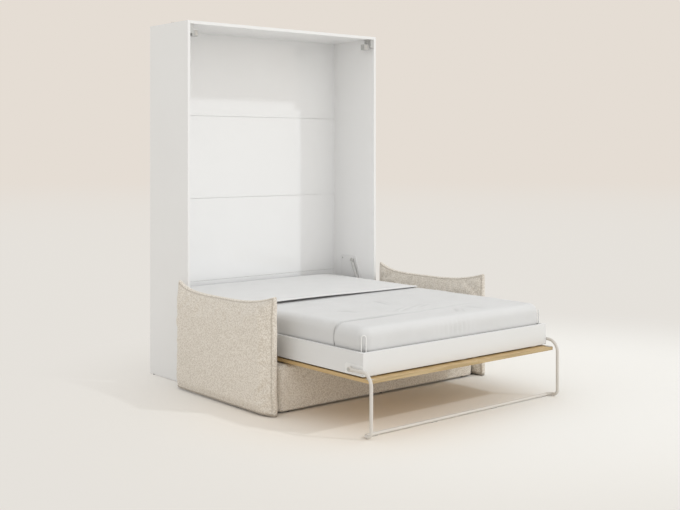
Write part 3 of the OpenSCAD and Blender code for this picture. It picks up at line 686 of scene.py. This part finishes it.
def layered(middle, lines, rings, flat_under=False):
    """Points and faces of a closed form: a grid on top, rings round its edge, and an underside.

    The grid lines are two lists of shares from -1 to 1, along x and along y. A ring is (half x,
    half y, corner radius, z). The first one is the edge of the top's grid, and the last one is
    the edge of the underside, which is a grid too, or one flat face."""
    along_x, along_y = lines
    nx, ny = len(along_x) - 1, len(along_y) - 1
    lap = 2 * (nx + ny)
    points, faces = [], []
    for a, b, r, z in rings:
        flat = rounded(a, b, r, along_x, along_y) + middle
        points.append(np.column_stack((flat, np.full(lap, z))))
    for j in range(len(rings) - 1):
        for i in range(lap):
            k = (i + 1) % lap
            faces.append((j * lap + i, (j + 1) * lap + i, (j + 1) * lap + k, j * lap + k))

    def grid(ring, edge_start, inner_start):
        """Points inside a ring, and the cells of the grid that they make with it."""
        a, b, _, z = ring
        inner = [
            (middle[0] + a * along_x[i], middle[1] + b * along_y[j], z)
            for j in range(1, ny) for i in range(1, nx)
        ]

        def index(i, j):
            if j == 0:
                return edge_start + i
            if i == nx:
                return edge_start + nx + j
            if j == ny:
                return edge_start + nx + ny + (nx - i)
            if i == 0:
                return edge_start + 2 * nx + ny + (ny - j)
            return inner_start + (j - 1) * (nx - 1) + i - 1

        cells = [
            (index(i, j), index(i + 1, j), index(i + 1, j + 1), index(i, j + 1))
            for j in range(ny) for i in range(nx)
        ]
        return inner, cells

    count = len(rings) * lap
    inner, cells = grid(rings[0], 0, count)
    points.append(np.array(inner))
    faces += cells
    if flat_under:
        faces.append(tuple(range(count - lap, count)))
    else:
        inner, cells = grid(rings[-1], count - lap, count + len(inner))
        points.append(np.array(inner))
        faces += [tuple(reversed(cell)) for cell in cells]
    return np.vstack(points), faces


def drawn_in(half_x, half_y, rows):
    """Rings of a block: each row is how far it is drawn in, its height or layer, and its corner radius."""
    return [(half_x - inset, half_y - inset, corner, z) for inset, z, corner in rows]


def solid(name, points, faces, finish):
    """A smooth closed mesh with its faces turned outwards."""
    mesh = bpy.data.meshes.new(name)
    mesh.from_pydata(points.tolist(), [], faces)
    with edited(mesh) as bm:
        bmesh.ops.recalc_face_normals(bm, faces=bm.faces)
        for face in bm.faces:
            face.smooth = True
    mesh.materials.append(finish)
    return new_piece(name, mesh)


def weave(finish, scale, depth):
    """Relief of crossing threads, about three times scale of them to the metre."""
    tree = finish.node_tree
    height = 0.0
    for direction in ("X", "Y", "Z"):
        band = add(
            tree, "ShaderNodeTexWave", {"wave_type": "BANDS", "bands_direction": direction},
            Vector=on_piece(tree), Scale=scale, Distortion=0.6, Detail=1.0,
        )
        height = maths(tree, "ADD", band.outputs["Fac"], height)
    raised(tree, height, depth)


ticking = tinted(
    "knitted_ticking", (0.70, 0.69, 0.66), (0.74, 0.73, 0.70), clouds=40, roughness=0.85,
    Sheen_Weight=0.2,
)
weave(ticking, scale=45, depth=0.0003)

mattress_low, mattress_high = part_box("mattress")
mattress_x = mattress_high.x
mattress_y = (mattress_high.y - mattress_low.y) / 2
bed_middle = (0, (mattress_high.y + mattress_low.y) / 2)
CLEAR_OF_DUVET = 0.002
mattress_top = mattress_high.z - CLEAR_OF_DUVET

# How far the mattress is drawn in on the way down, the drop from its top, and its corner radius
MATTRESS_SIDE = (
    (0.035, 0.0, 0.0), (0.022, 0.0010, 0.03), (0.014, 0.004, 0.036), (0.009, 0.008, 0.04),
    (0.006, 0.012, 0.044), (0.001, 0.013, 0.049), (0.0, 0.016, 0.05), (0.001, 0.019, 0.049),
    (0.005, 0.021, 0.045), (0.006, 0.05, 0.044), (0.007, 0.09, 0.043), (0.006, 0.13, 0.044),
    (0.005, 0.158, 0.045), (0.001, 0.160, 0.049), (0.0, 0.163, 0.05), (0.001, 0.166, 0.049),
    (0.006, 0.167, 0.044), (0.012, 0.174, 0.038), (0.024, 0.1792, 0.03), (0.035, 0.1798, 0.0),
)
rings = drawn_in(
    mattress_x, mattress_y, [(inset, mattress_top - drop, corner) for inset, drop, corner in MATTRESS_SIDE]
)
points, faces = layered(bed_middle, (even(27), even(38)), rings, flat_under=True)
mattress = solid("mattress_block", points, faces, ticking)
stands_for(mattress, "mattress")


# Duvet.
# White cotton, spread over the mattress and tucked in between it and the rails. The foot end is
# folded in like an envelope, which leaves a crease up the side and across the top.
def shade_folds(finish, deep_colour):
    """Paints shade into a cloth's colour deep in its folds, where its mesh's fold_shade attribute rises to 1."""
    tree = finish.node_tree
    base = tree.nodes["Principled BSDF"].inputs["Base Color"]
    deep = add(tree, "ShaderNodeAttribute", {"attribute_name": "fold_shade"}).outputs["Fac"]
    tree.links.new(two_tone(tree, deep, base.links[0].from_socket, (*deep_colour, 1)), base)


def add_shade(piece, depth):
    """Notes on a cloth's mesh how much painted shade each of its points takes, deep in a fold or along a seam."""
    piece.data.attributes.new("fold_shade", "FLOAT", "POINT").data.foreach_set("value", depth)


def cotton(name, dark, light):
    """White bedding cotton with a fine weave."""
    finish = tinted(
        name, dark, light, clouds=7, roughness=0.88, Sheen_Weight=0.1, Sheen_Roughness=0.5
    )
    weave(finish, scale=70, depth=0.0002)
    return finish


duvet_cotton = cotton("white_cotton", (0.70, 0.70, 0.698), (0.72, 0.72, 0.72))
# The duvet's painted shade darkens it towards this colour
shade_folds(duvet_cotton, (0.20, 0.195, 0.19))


def soft_step(low, high, value):
    """A smooth rise from 0 at low to 1 at high; it falls where low is the larger one."""
    share = np.clip((value - low) / (high - low), 0, 1)
    return share * share * (3 - 2 * share)


def hump(value, middle, width):
    """A smooth hump, 1 at its middle and near 0 at twice its width from there."""
    return np.exp(-(((value - middle) / width) ** 2))


def cloudy(x, y, scale, seed=0.0):
    """Smooth noise between about -1 and 1 at points x, y, with features 1 / scale across."""
    return np.array([noise.noise(Vector((a * scale, b * scale, seed))) for a, b in zip(x, y)])


def beside(x, y, start, end):
    """How far along a line points lie, how far to its right, and how long the line is."""
    start, end = np.array(start), np.array(end)
    length = np.linalg.norm(end - start)
    along = (end - start) / length
    dx, dy = x - start[0], y - start[1]
    return dx * along[0] + dy * along[1], dx * along[1] - dy * along[0], length


duvet_low, duvet_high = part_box("duvet")
duvet_x = duvet_high.x
duvet_y = (duvet_high.y - duvet_low.y) / 2
tuck_z = duvet_low.z
rail_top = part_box("rail_left")[1].z
cover_low, cover_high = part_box("turned_back_cover")
DUVET_THICK = 0.022
DUVET_EDGE = 0.048
DUVET_CORNER = 0.056
BED_CORE = 0.05
duvet_z = mattress_top + DUVET_THICK
CREASE_START = (-0.675, -0.712)
CREASE_END = (0.560, -0.690)
CREASE_RISE = 0.0080
CREASE_DIP = 0.0035
SIDE_FOLD_RISE = 0.0070
SIDE_FOLD_DIP = 0.0140
PLEATS_X = -0.02
PLEAT_SPREAD = 0.12
PLEAT_WAVE = 180
PLEAT_HEIGHT = 0.0026

# Small wrinkles on the top: where each starts and ends, and how high it stands
WRINKLES = (
    ((-0.20, -0.66), (-0.01, -0.56), 0.0060),
    ((-0.01, -0.60), (0.12, -0.55), 0.0055),
    ((-0.40, -0.41), (-0.37, -0.54), 0.0050),
    ((0.02, -0.24), (-0.03, -0.43), 0.0050),
    ((0.08, -0.87), (0.16, -0.77), 0.0045),
    ((0.30, -0.85), (0.24, -0.74), 0.0040),
)


def wrinkled(x, y):
    """Height of the small wrinkles at points of the top, and the shade painted at their feet."""
    ridges, shade = 0.0, 0.0
    for start, end, height in WRINKLES:
        run, off, length = beside(x, y, start, end)
        faded = soft_step(-0.2, 0.4, run / length) * soft_step(1.2, 0.6, run / length)
        ridges = ridges + height * faded * hump(off, 0, 0.013)
        shade = shade + 0.16 * faded * hump(np.abs(off), 0.019, 0.009)
    return ridges, shade


def crease_side(x, y):
    """Distance from the crease on the top, positive on the foot side, and how much of it is left."""
    run, off, length = beside(x, y, CREASE_START, CREASE_END)
    left = 1 - 0.6 * soft_step(0.3, 0.6, run) - 0.4 * soft_step(length - 0.4, length, run)
    return off + 0.005 * np.sin(run * 9), left


def duvet_rise(x, y):
    """How far the duvet's top stands above its flat height."""
    from_cover = y - cover_low.y
    swell = 0.0045 + 0.0050 * cloudy(x, y, 2.4, 3.1) + 0.0028 * cloudy(x, y, 6.5, 7.7)
    ruck = 0.0020 * cloudy(x * 0.6 + 0.35 * y, y * 2.2 - 0.5 * x, 8.0, 1.9) + wrinkled(x, y)[0]
    off, left = crease_side(x, y)
    fold = CREASE_RISE * soft_step(0.004, -0.009, off) - CREASE_DIP * hump(off, 0.006, 0.009)
    fold = left * fold * np.exp(-np.clip(-off, 0, None) / 0.16)
    return soft_step(0.02, -0.16, from_cover) * (swell + ruck) + soft_step(0.02, -0.04, from_cover) * fold


def quarter_round(radius, steps):
    """How far in and how far down the points of a rounded edge lie, from the top to the side."""
    turns = [math.radians(90 * step / steps) for step in range(steps + 1)]
    return [(radius * (1 - math.sin(turn)), radius * (1 - math.cos(turn))) for turn in turns]


def shown_points(points, rings, lines, hidden):
    """Which points lie on the top or the sides, and not on the last few rings, which are hidden."""
    lap = 2 * (len(lines[0]) + len(lines[1]) - 2)
    number = np.arange(len(points))
    return (number < (len(rings) - hidden) * lap) | (number >= len(rings) * lap)


def outwards(x, y, middle, core_x, core_y):
    """How far points lie from a core rectangle, which way out that is, and how far along its side."""
    out_x = x - np.clip(x, middle[0] - core_x, middle[0] + core_x)
    out_y = y - np.clip(y, middle[1] - core_y, middle[1] + core_y)
    reach = np.hypot(out_x, out_y)
    out_x, out_y = out_x / np.maximum(reach, 1e-6), out_y / np.maximum(reach, 1e-6)
    return reach, out_x, out_y, x * np.abs(out_y) + y * np.abs(out_x)


# The top of the duvet, its rounded edge, its sides, and the tuck back up to the mattress
rows = [(0.062, duvet_z, 0.0)]
for inset, drop in quarter_round(DUVET_EDGE, steps=12):
    rows.append((inset + 0.002, duvet_z - drop, DUVET_CORNER - (inset + 0.002) * 0.8))
for drop in (0.056, 0.064, 0.072, 0.080, 0.088, 0.096, 0.104, 0.112, 0.118):
    rows.append((0.001, duvet_z - drop, DUVET_CORNER - 0.001))
for inset, z in (
    (0.001, tuck_z + 0.002), (0.003, tuck_z), (0.0065, tuck_z + 0.001),
    (0.0065, mattress_top - 0.02), (0.011, mattress_top - 0.006),
):
    rows.append((inset, z, DUVET_CORNER - inset))
rows.append((0.03, mattress_top + 0.0024, 0.03))
rings = drawn_in(duvet_x, duvet_y, rows)

# The grid lines lie closer along the crease
crease_line = (CREASE_START[1] - bed_middle[1]) / duvet_y
lines_y = even(210)
lines_y = lines_y[np.abs(lines_y - crease_line) > 0.023]
close_lines = crease_line + np.linspace(-0.020, 0.020, 19)
lines = (even(150), np.sort(np.concatenate((lines_y, close_lines))))
points, faces = layered(bed_middle, lines, rings, flat_under=True)

# The sides bulge above the rails, with pleats at the foot and the fold of the envelope on the left
x, y, z = points.T
is_shown = shown_points(points, rings, lines, hidden=5)
reach, out_x, out_y, lap_place = outwards(x, y, bed_middle, mattress_x - BED_CORE, mattress_y - BED_CORE)
on_top = soft_step(duvet_z - DUVET_EDGE - 0.01, duvet_z - 0.004, z)
at_foot = soft_step(0.5, 0.9, -out_y)
at_left = soft_step(0.5, 0.9, np.abs(out_x)) * (x < 0)
past_fold = y - (CREASE_START[1] + 0.004)
free = soft_step(rail_top + 0.002, rail_top + 0.034, z) * soft_step(0.0, 0.03, reach)
bulge = 0.0020 + 0.0025 * cloudy(lap_place, z * 0.6, 5.0, 12.0) + 0.0010 * cloudy(lap_place, z, 19.0, 4.0)
pleats = hump(x, PLEATS_X, PLEAT_SPREAD) * np.cos((x - PLEATS_X) * PLEAT_WAVE)
bulge += PLEAT_HEIGHT * at_foot * pleats
side_fold = SIDE_FOLD_RISE * soft_step(0.003, -0.004, past_fold)
side_fold -= SIDE_FOLD_DIP * hump(past_fold, 0.004, 0.0045)
bulge += at_left * side_fold
push = np.where(is_shown, bulge * free * (1 - on_top * 0.7), 0)
lift = np.where(is_shown, duvet_rise(x, y) * on_top, 0)
points = np.column_stack((x + out_x * push, y + out_y * push, z + lift))

# Shade is painted into the cloth in the crease and the wrinkles, in the fold at the side, a little on all the
# sides, and most along the rails
off, left = crease_side(x, y)
deep_on_top = 0.34 * left * hump(off, 0.003, 0.0070) + wrinkled(x, y)[1]
above_rail = soft_step(rail_top - 0.004, rail_top + 0.012, z)
deep_at_side = 0.95 * above_rail * at_left * (1 - on_top) * hump(past_fold, 0.004, 0.0048)
at_edge = 0.12 * (1 - on_top) + 0.34 * soft_step(rail_top + 0.013, rail_top + 0.001, z)
duvet = solid("duvet_spread", points, faces, duvet_cotton)
add_shade(duvet, np.where(is_shown, np.maximum(deep_on_top * on_top, deep_at_side) + at_edge, 0))
stands_for(duvet, "duvet")


# Turned-back cover.
# The top of the bedding is folded back over the head half, a soft double layer with a rounded fold.
# Along the fold it lifts a little off the duvet.
cover_cotton = cotton("cover_cotton", (0.75, 0.75, 0.748), (0.77, 0.77, 0.77))

cover_x = cover_high.x
cover_y = (cover_high.y - cover_low.y) / 2
cover_middle = (0, (cover_high.y + cover_low.y) / 2)
COVER_THICK = 0.0125
COVER_CORNER = 0.034
COVER_GAP = 0.0006

# How far the cover's edge is drawn in, and at what share of its thickness
COVER_SIDE = (
    (0.020, 0.985), (0.011, 0.92), (0.0045, 0.80), (0.001, 0.64), (0.0, 0.5),
    (0.001, 0.34), (0.0045, 0.18), (0.010, 0.06), (0.018, 0.0),
)
rows = [(inset, share, COVER_CORNER - inset * 0.6) for inset, share in COVER_SIDE]
rings = drawn_in(cover_x, cover_y, [(0.034, 1.0, 0.0), *rows, (0.034, 0.0, 0.0)])
points, faces = layered(cover_middle, (even(110), even(78)), rings)

# Its front edge runs in a slight wave and curls up, most on the left, and its sides sag
x, y, share = points.T
near_fold = soft_step(cover_low.y + 0.30, cover_low.y, y)
y = y + near_fold * (0.012 * np.sin(2.6 * x + 0.6) + 0.004 * cloudy(x, x * 0, 5.0, 2.0) - 0.004)
curl = soft_step(0.075, 0.0, y - cover_low.y - 0.006) * (0.0125 - 0.0085 * soft_step(-0.30, 0.45, x))
puff = 1 + 0.10 * cloudy(x, y, 3.5, 9.0) + 0.05 * cloudy(x, y * 2.0, 9.0, 5.0)
sag = 0.004 * soft_step(0.55, 0.66, np.abs(x))
base = duvet_z + duvet_rise(x, y) + COVER_GAP
points = np.column_stack((x, y, base + curl + share * (COVER_THICK * puff - sag)))
cover = solid("cover_turned_back", points, faces, cover_cotton)
stands_for(cover, "turned_back_cover")


# Wire hoops and folding leg.
# Both are bent from round bar and painted. The hoops stand in the foot corners and hold the mattress
# when the bed is up. The leg is one tube, hinged on a pin at each side by a welded sleeve.
def tube_tree():
    """A round tube along a path of straight runs, with a bend at each point."""
    tree, given = new_tree("bent_tube", Path="Geometry", Radius="Float", Sides="Int", Finish="Material")
    curve = add(tree, "GeometryNodeMeshToCurve", Mesh=given["Path"])
    bend = add(tree, "GeometryNodeInputNamedAttribute", {"data_type": "FLOAT"}, Name="bend")
    route = add(
        tree, "GeometryNodeFilletCurve", {"mode": "POLY"}, Count=12, Limit_Radius=True,
        Curve=curve.outputs["Curve"], Radius=bend.outputs["Attribute"],
    )
    circle = add(
        tree, "GeometryNodeCurvePrimitiveCircle", Resolution=given["Sides"], Radius=given["Radius"]
    )
    sweep = add(
        tree, "GeometryNodeCurveToMesh", Fill_Caps=True,
        Curve=route.outputs["Curve"], Profile_Curve=circle.outputs["Curve"],
    )
    end_tree(tree, sweep.outputs["Mesh"], given["Finish"])
    return tree


bent_tube = tube_tree()


def bent_bars(name, paths, radius, sides, finish):
    """Round bars along paths of (x, y, z, bend radius), as one piece."""
    points, runs = [], []
    for path in paths:
        runs += [(len(points) + i, len(points) + i + 1) for i in range(len(path) - 1)]
        points += path
    mesh = bpy.data.meshes.new(name + "_path")
    mesh.from_pydata([point[:3] for point in points], runs, [])
    bends = mesh.attributes.new("bend", "FLOAT", "POINT")
    bends.data.foreach_set("value", [point[3] for point in points])
    source = new_piece(name + "_path", mesh)
    use_tree(source, bent_tube, Radius=radius, Sides=sides, Finish=finish)
    piece = baked(name, source)
    with edited(piece.data) as bm:
        bmesh.ops.recalc_face_normals(bm, faces=bm.faces)
        smoothed(bm, 40)
    return piece


HOOP_WIRE = 0.003
HOOP_BEND = 0.012
hoop_paths = []
for low, high in loose_parts("mattress_hoops"):
    middle = (low + high) / 2
    turn = 1 if middle[0] > 0 else -1
    reach = (HOOP_BEND * math.sqrt(0.5), turn * HOOP_BEND * math.sqrt(0.5))
    start = (middle[0] - reach[0], middle[1] - reach[1])
    end = (middle[0] + reach[0], middle[1] + reach[1])
    top = high[2] - HOOP_WIRE
    hoop_paths.append([
        (*start, low[2], 0), (*start, top, HOOP_BEND), (*end, top, HOOP_BEND), (*end, low[2], 0),
    ])
hoops = bent_bars("wire_hoops", hoop_paths, HOOP_WIRE, sides=16, finish=white_paint)
stands_for(hoops, "mattress_hoops")

LEG_RADIUS = 0.009
LEG_BEND = 0.065
FOOT_BEND = 0.028
BAR_BEND = 0.026
SLEEVE_RADIUS = 0.013
SLEEVE_LENGTH = 0.0194
SLEEVE_EASE = 0.0015
PIN_RADIUS = 0.0052
leg_joint = next(joint for joint in frame["joints"] if joint["name"] == "leg_swing")
leg_pivot = Vector(leg_joint["pos_m"])
side_low, side_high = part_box("leg_side_right")
bar_low, bar_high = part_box("leg_floor_bar")
leg_x = side_high.x - SLEEVE_LENGTH / 2
leg_y = side_low.y + LEG_RADIUS
foot_z = side_low.z + LEG_RADIUS
bar_y = (bar_low.y + bar_high.y) / 2
half_leg = [
    (leg_x, leg_pivot.y - SLEEVE_RADIUS + 0.003, leg_pivot.z, 0),
    (leg_x, leg_y, leg_pivot.z, LEG_BEND),
    (leg_x, leg_y, foot_z, FOOT_BEND),
    (leg_x, bar_y, foot_z, BAR_BEND),
]
leg_path = half_leg + [(-x, y, z, bend) for x, y, z, bend in reversed(half_leg)]
leg = bent_bars("leg_tube", [leg_path], LEG_RADIUS, sides=28, finish=grey_paint)
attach(leg, "leg")
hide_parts("leg_side_left", "leg_side_right", "leg_floor_bar")


def turned(name, profile, centres, steps, finish):
    """Forms turned round the x axis at centres: profile is a closed loop of (x offset, radius)."""
    points, faces = [], []
    count = len(profile)
    for centre in centres:
        start = len(points)
        for step in range(steps):
            turn = 2 * math.pi * step / steps
            for offset, radius in profile:
                points.append((
                    centre[0] + offset,
                    centre[1] + radius * math.cos(turn),
                    centre[2] + radius * math.sin(turn),
                ))
        for step in range(steps):
            here, there = start + step * count, start + (step + 1) % steps * count
            for i in range(count):
                k = (i + 1) % count
                faces.append((here + i, here + k, there + k, there + i))
    piece = solid(name, np.array(points), faces, finish)
    with edited(piece.data) as bm:
        smoothed(bm, 50)
    return piece


half_sleeve = SLEEVE_LENGTH / 2
sleeve_profile = [
    (-half_sleeve, PIN_RADIUS), (-half_sleeve, SLEEVE_RADIUS - SLEEVE_EASE),
    (-half_sleeve + SLEEVE_EASE, SLEEVE_RADIUS), (half_sleeve - SLEEVE_EASE, SLEEVE_RADIUS),
    (half_sleeve, SLEEVE_RADIUS - SLEEVE_EASE), (half_sleeve, PIN_RADIUS),
]
sleeve_places = [(side * leg_x, leg_pivot.y, leg_pivot.z) for side in (-1, 1)]
sleeves = turned("leg_sleeves", sleeve_profile, sleeve_places, steps=48, finish=grey_paint)
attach(sleeves, "leg")

rubber = coated(
    "pale_rubber", (0.40, 0.38, 0.35), (0.45, 0.43, 0.40), clouds=50, rough=(0.65, 0.85),
    grit=1200, depth=0.00008,
)
dressed("leg_pads", rubber, ease=0.0006)


# Seat frame.
# Plywood ends, long boards and a seat panel, screwed together and standing on glides. Steel strips
# under it carry the arms' boards, and steel angles tie it to the cabinet's floor rail.
plywood = wood(
    "birch_plywood", (0.56, 0.43, 0.27), (0.62, 0.49, 0.32), (0.68, 0.56, 0.385),
    ring_scale=6.0, relief=0.0001,
)
for node in ("sofa_end_boards", "sofa_long_boards", "seat_panel", "arm_boards"):
    dressed(node, plywood, ease=0.001)
dressed("sofa_glides", black_plastic)
dressed("sofa_ties", zinc, ease=0.0006)
dressed("arm_strips", zinc, ease=0.0006)


# Seat cover.
# Foam over the seat frame, covered in boucle that is drawn down over soft edges and stapled under.
# The cloth bellies a little at the front, and shade is painted along its hem.
def boucle_finish():
    """Looped wool: small round knots of yarn with darker hollows."""
    finish = new_finish("boucle", (0.80, 0.75, 0.68), 0.95, Sheen_Weight=0.3, Sheen_Roughness=0.6)
    tree = finish.node_tree
    place = on_piece(tree)
    loops = add(
        tree, "ShaderNodeTexVoronoi", {"feature": "SMOOTH_F1"},
        Vector=warped(tree, place, 70, 2.0, 0.008), Scale=140, Smoothness=0.3,
    )
    tufts = speckle(tree, place, 150, 4.0, 0.65)["Fac"]
    yarn = maths(tree, "MULTIPLY_ADD", loops.outputs["Distance"], -0.75, tufts)
    coloured(tree, yarn, (0.0, (0.63, 0.57, 0.49)), (0.16, (0.765, 0.71, 0.63)), (0.45, (0.86, 0.81, 0.74)))
    raised(tree, yarn, 0.0020)
    return finish


boucle = boucle_finish()
# Shade painted along the boucle's seams and hem darkens it towards this colour
shade_folds(boucle, (0.34, 0.29, 0.23))

SEAT_SLACK = 0.0015
SEAT_EDGE = 0.026
SEAT_CORNER = 0.034
SEAT_CROWN = 0.003
HEM_Z = 0.009
seat_low, seat_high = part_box("seat_cover")
seat_x = seat_high.x - SEAT_SLACK
seat_y = (seat_high.y - seat_low.y) / 2 - SEAT_SLACK
seat_middle = (0, (seat_high.y + seat_low.y) / 2)
seat_top = seat_high.z
seat_shoulder = seat_top - SEAT_EDGE - SEAT_CROWN
panel_low, panel_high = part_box("seat_panel")

# The seat's top, its rounded edge, its sides and hem, and the cloth turned in over the panel's edge
rows = [(0.05, seat_top - SEAT_CROWN, 0.0)]
for inset, drop in quarter_round(SEAT_EDGE, steps=8):
    rows.append((inset, seat_top - SEAT_CROWN - drop, SEAT_CORNER - inset))
for step in range(1, 20):
    rows.append((0.0, seat_shoulder - (seat_shoulder - HEM_Z) * step / 20, SEAT_CORNER))
rows += [(0.001, HEM_Z + 0.004, 0.033), (0.005, HEM_Z, 0.029)]
rings = drawn_in(seat_x, seat_y, rows)
rings += drawn_in(panel_high.x, (panel_high.y - panel_low.y) / 2, (
    (-0.0006, HEM_Z, 0.003), (-0.0006, panel_high.z, 0.003), (0.001, panel_high.z + 0.0006, 0.003),
))
lines = (even(150), even(90))
points, faces = layered(seat_middle, lines, rings, flat_under=True)

# The sides belly out, most at the front, the top is a little uneven, and knots of yarn cover it all
x, y, z = points.T
is_shown = shown_points(points, rings, lines, hidden=4)
reach, out_x, out_y, lap_place = outwards(x, y, seat_middle, seat_x - SEAT_CORNER, seat_y - SEAT_CORNER)
on_side = soft_step(0.0, 0.03, reach)
at_front = soft_step(0.5, 0.9, -out_y)
up = np.clip((z - HEM_Z) / (seat_top - HEM_Z), 0, 1)
bulge = 0.0045 * np.sin(math.pi * up) ** 0.7 + 0.0018 * cloudy(lap_place, z, 7.0, 2.2)
knots = 0.0009 * cloudy(x + z * 0.7, y + z * 0.7, 85.0, 6.0)
push = np.where(is_shown, (bulge * (0.35 + 0.65 * at_front) + knots) * on_side, 0)
rise = np.where(is_shown, (0.0016 * cloudy(x, y, 5.0, 8.0) + knots) * (1 - on_side) - 0.001, 0)
points = np.column_stack((x + out_x * push, y + out_y * push, z + rise))
seat = solid("boucle_seat", points, faces, boucle)
# Painted shade along the hem, where the seat meets the floor
add_shade(seat, 0.8 * soft_step(HEM_Z + 0.012, HEM_Z + 0.002, z))
stands_for(seat, "seat_cover")


# Arms.
# Each arm is a boucle pillow round a board: two skins, welted to a narrow border strip. The top edge
# sags between two pointed corners, and the full belly stands on the floor.
arm_low, arm_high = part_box("arm_right")
arm_middle = (arm_low + arm_high) / 2
ARM_LENGTH = arm_high.y - arm_low.y
ARM_HEIGHT = arm_high.z - arm_low.z
ARM_THICK = arm_high.x - arm_low.x
ARM_DIP = 0.055
ARM_DRAWN_IN = 0.004
ARM_TAPER = 0.080
BORDER = 0.028
BORDER_ROUND = 0.006
SEAM_INSIDE = 0.0052
HELD_WITHIN = 0.0125
CLOTH_FRAMES = 20

# An arm's half from its skin to the middle of its border: how far it is drawn in, at what share of
# its thickness
ARM_SIDE = (
    (0.009, 1), (0.0065, 1), (0.0045, 1), (0.0025, 1), (0.001, 1), (-0.0005, 0.98), (-0.0018, 0.93),
    (-0.0012, 0.87), (-0.0026, 0.79), (-0.0042, 0.60), (-0.0054, 0.32), (-BORDER_ROUND, 0.0),
)


def puffed(piece, pinned, pressure, cap):
    """Blows a closed piece up as cloth with its pinned points held, and keeps each move under cap."""
    before = np.array([v.co for v in piece.data.vertices])
    group = piece.vertex_groups.new(name="held")
    group.add([int(i) for i in np.flatnonzero(pinned)], 1.0, "REPLACE")
    cloth = piece.modifiers.new("cloth", "CLOTH")
    made = cloth.settings
    made.quality = 6
    made.mass = 0.3
    made.use_pressure = True
    made.uniform_pressure_force = pressure
    made.tension_stiffness = 25
    made.compression_stiffness = 25
    made.bending_stiffness = 2.0
    made.shrink_min = -0.035
    made.vertex_group_mass = "held"
    made.effector_weights.gravity = 0
    cloth.collision_settings.use_collision = False
    cloth.point_cache.frame_start = 1
    cloth.point_cache.frame_end = CLOTH_FRAMES
    for frame_number in range(1, CLOTH_FRAMES + 1):
        scene.frame_set(frame_number)
    depsgraph = bpy.context.evaluated_depsgraph_get()
    blown = piece.evaluated_get(depsgraph)
    after = np.array([v.co for v in blown.data.vertices])
    piece.modifiers.remove(cloth)
    piece.vertex_groups.clear()
    scene.frame_set(1)
    move = after - before
    size = np.linalg.norm(move, axis=1, keepdims=True)
    move = move * np.minimum(1, cap / np.maximum(size, 1e-9))
    piece.data.vertices.foreach_set("co", (before + move).ravel())
    piece.data.update()


def arm_cushion(name, side, node):
    """A pillow that tapers to its border strip at both ends and the top; side is 1 on the right."""
    half_l, half_h = ARM_LENGTH / 2, ARM_HEIGHT / 2
    seam_l, seam_h = half_l - BORDER_ROUND, half_h - BORDER_ROUND
    rows = [(0.012, 1, 0.0)] + [(inset, share, 0.004) for inset, share in ARM_SIDE]
    rings = drawn_in(seam_l, seam_h, rows)
    rings += [(a, b, corner, -share) for a, b, corner, share in reversed(rings[:-1])]
    points, faces = layered((0, 0), (even(96), even(64)), rings)
    p, q, skin = points.T
    u, v = p / half_l, q / half_h
    from_end, from_top, from_floor = seam_l - np.abs(p), seam_h - q, seam_h + q
    inside = np.minimum(np.minimum(from_end, from_top), from_floor)

    def taper(distance):
        """How full the pillow is at a distance from its edge."""
        return 1 - (1 - np.clip(distance / ARM_TAPER, 0, 1)) ** 2

    # Half the thickness: the filling, its lumps, the puckers along the seams and the welt
    belly = 0.80 + 0.20 * soft_step(0.0, 0.06, from_floor)
    fill = taper(from_end) * taper(from_top) * belly
    crown = (1 - np.clip(np.abs(u), 0, 1) ** 2.2) * (1 - np.clip(np.abs(v), 0, 1) ** 2.2)
    lumps = 0.0022 * cloudy(p, q, 6.0, 11.0 + side) * fill
    along_seam = np.where(from_end < from_top, q, p)
    puckers = 0.0024 * cloudy(along_seam, inside * 0.25, 30.0, 21.0 + side)
    lumps = lumps + puckers * soft_step(0.004, 0.016, inside) * np.exp(-inside / 0.040)
    welt = 0.0012 * hump(inside, 0, 0.0022) - 0.0024 * hump(inside, SEAM_INSIDE, 0.0026)
    tip = np.clip(u * u * v, 0, 1) ** 5
    puff = ARM_THICK / 2 - BORDER / 2 - 0.010
    half = BORDER / 2 * (1 - 0.4 * tip) + puff * fill * (0.92 + 0.08 * crown) + lumps + welt

    # The border strip waves a little, the ends draw in and the top edge sags between its corners
    at_edge = soft_step(0.80, 1.0, np.maximum(np.abs(u), v))
    edge_wave = 0.003 * cloudy(u * 1.4, v * 1.4, 3.0, 31.0 + side) * at_edge
    length = p - np.sign(p) * ARM_DRAWN_IN * (1 - v ** 2) * np.abs(u)
    steepness = np.where(u > 0, 5.0, 2.7)
    sag = (1 - np.abs(u) ** steepness) * ARM_DIP * np.clip((1 + v) / 2, 0, 1) ** 1.3
    across = np.sign(skin) * np.maximum(half, 0.0012) * np.abs(skin) + edge_wave
    across = across - 0.007 * (1 - fill / belly)
    lifted = 0.006 * np.abs(skin) ** 3 * soft_step(0.03, 0.0, from_floor)
    points = np.column_stack((
        side * (arm_middle.x + across),
        arm_middle.y + length,
        arm_middle.z + q - sag + lifted,
    ))
    cushion = solid(name, points, faces, boucle)
    # Shade is painted in a line along the seams, and in another where the arm meets the floor
    painted_seam_shade = 0.5 * hump(inside, SEAM_INSIDE, 0.0032) * soft_step(0.0, 0.02, from_floor)
    add_shade(cushion, np.maximum(painted_seam_shade, 0.85 * soft_step(0.011, 0.002, from_floor)))
    puffed(cushion, inside < HELD_WITHIN, pressure=4.0, cap=0.010)
    finer = cushion.modifiers.new("finer", "SUBSURF")
    finer.levels = 1
    finer.render_levels = 1
    stands_for(cushion, node)


arm_cushion("boucle_arm_left", -1, "arm_left")
arm_cushion("boucle_arm_right", 1, "arm_right")


# Low and high corners of everything shown but the floor.
low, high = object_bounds()
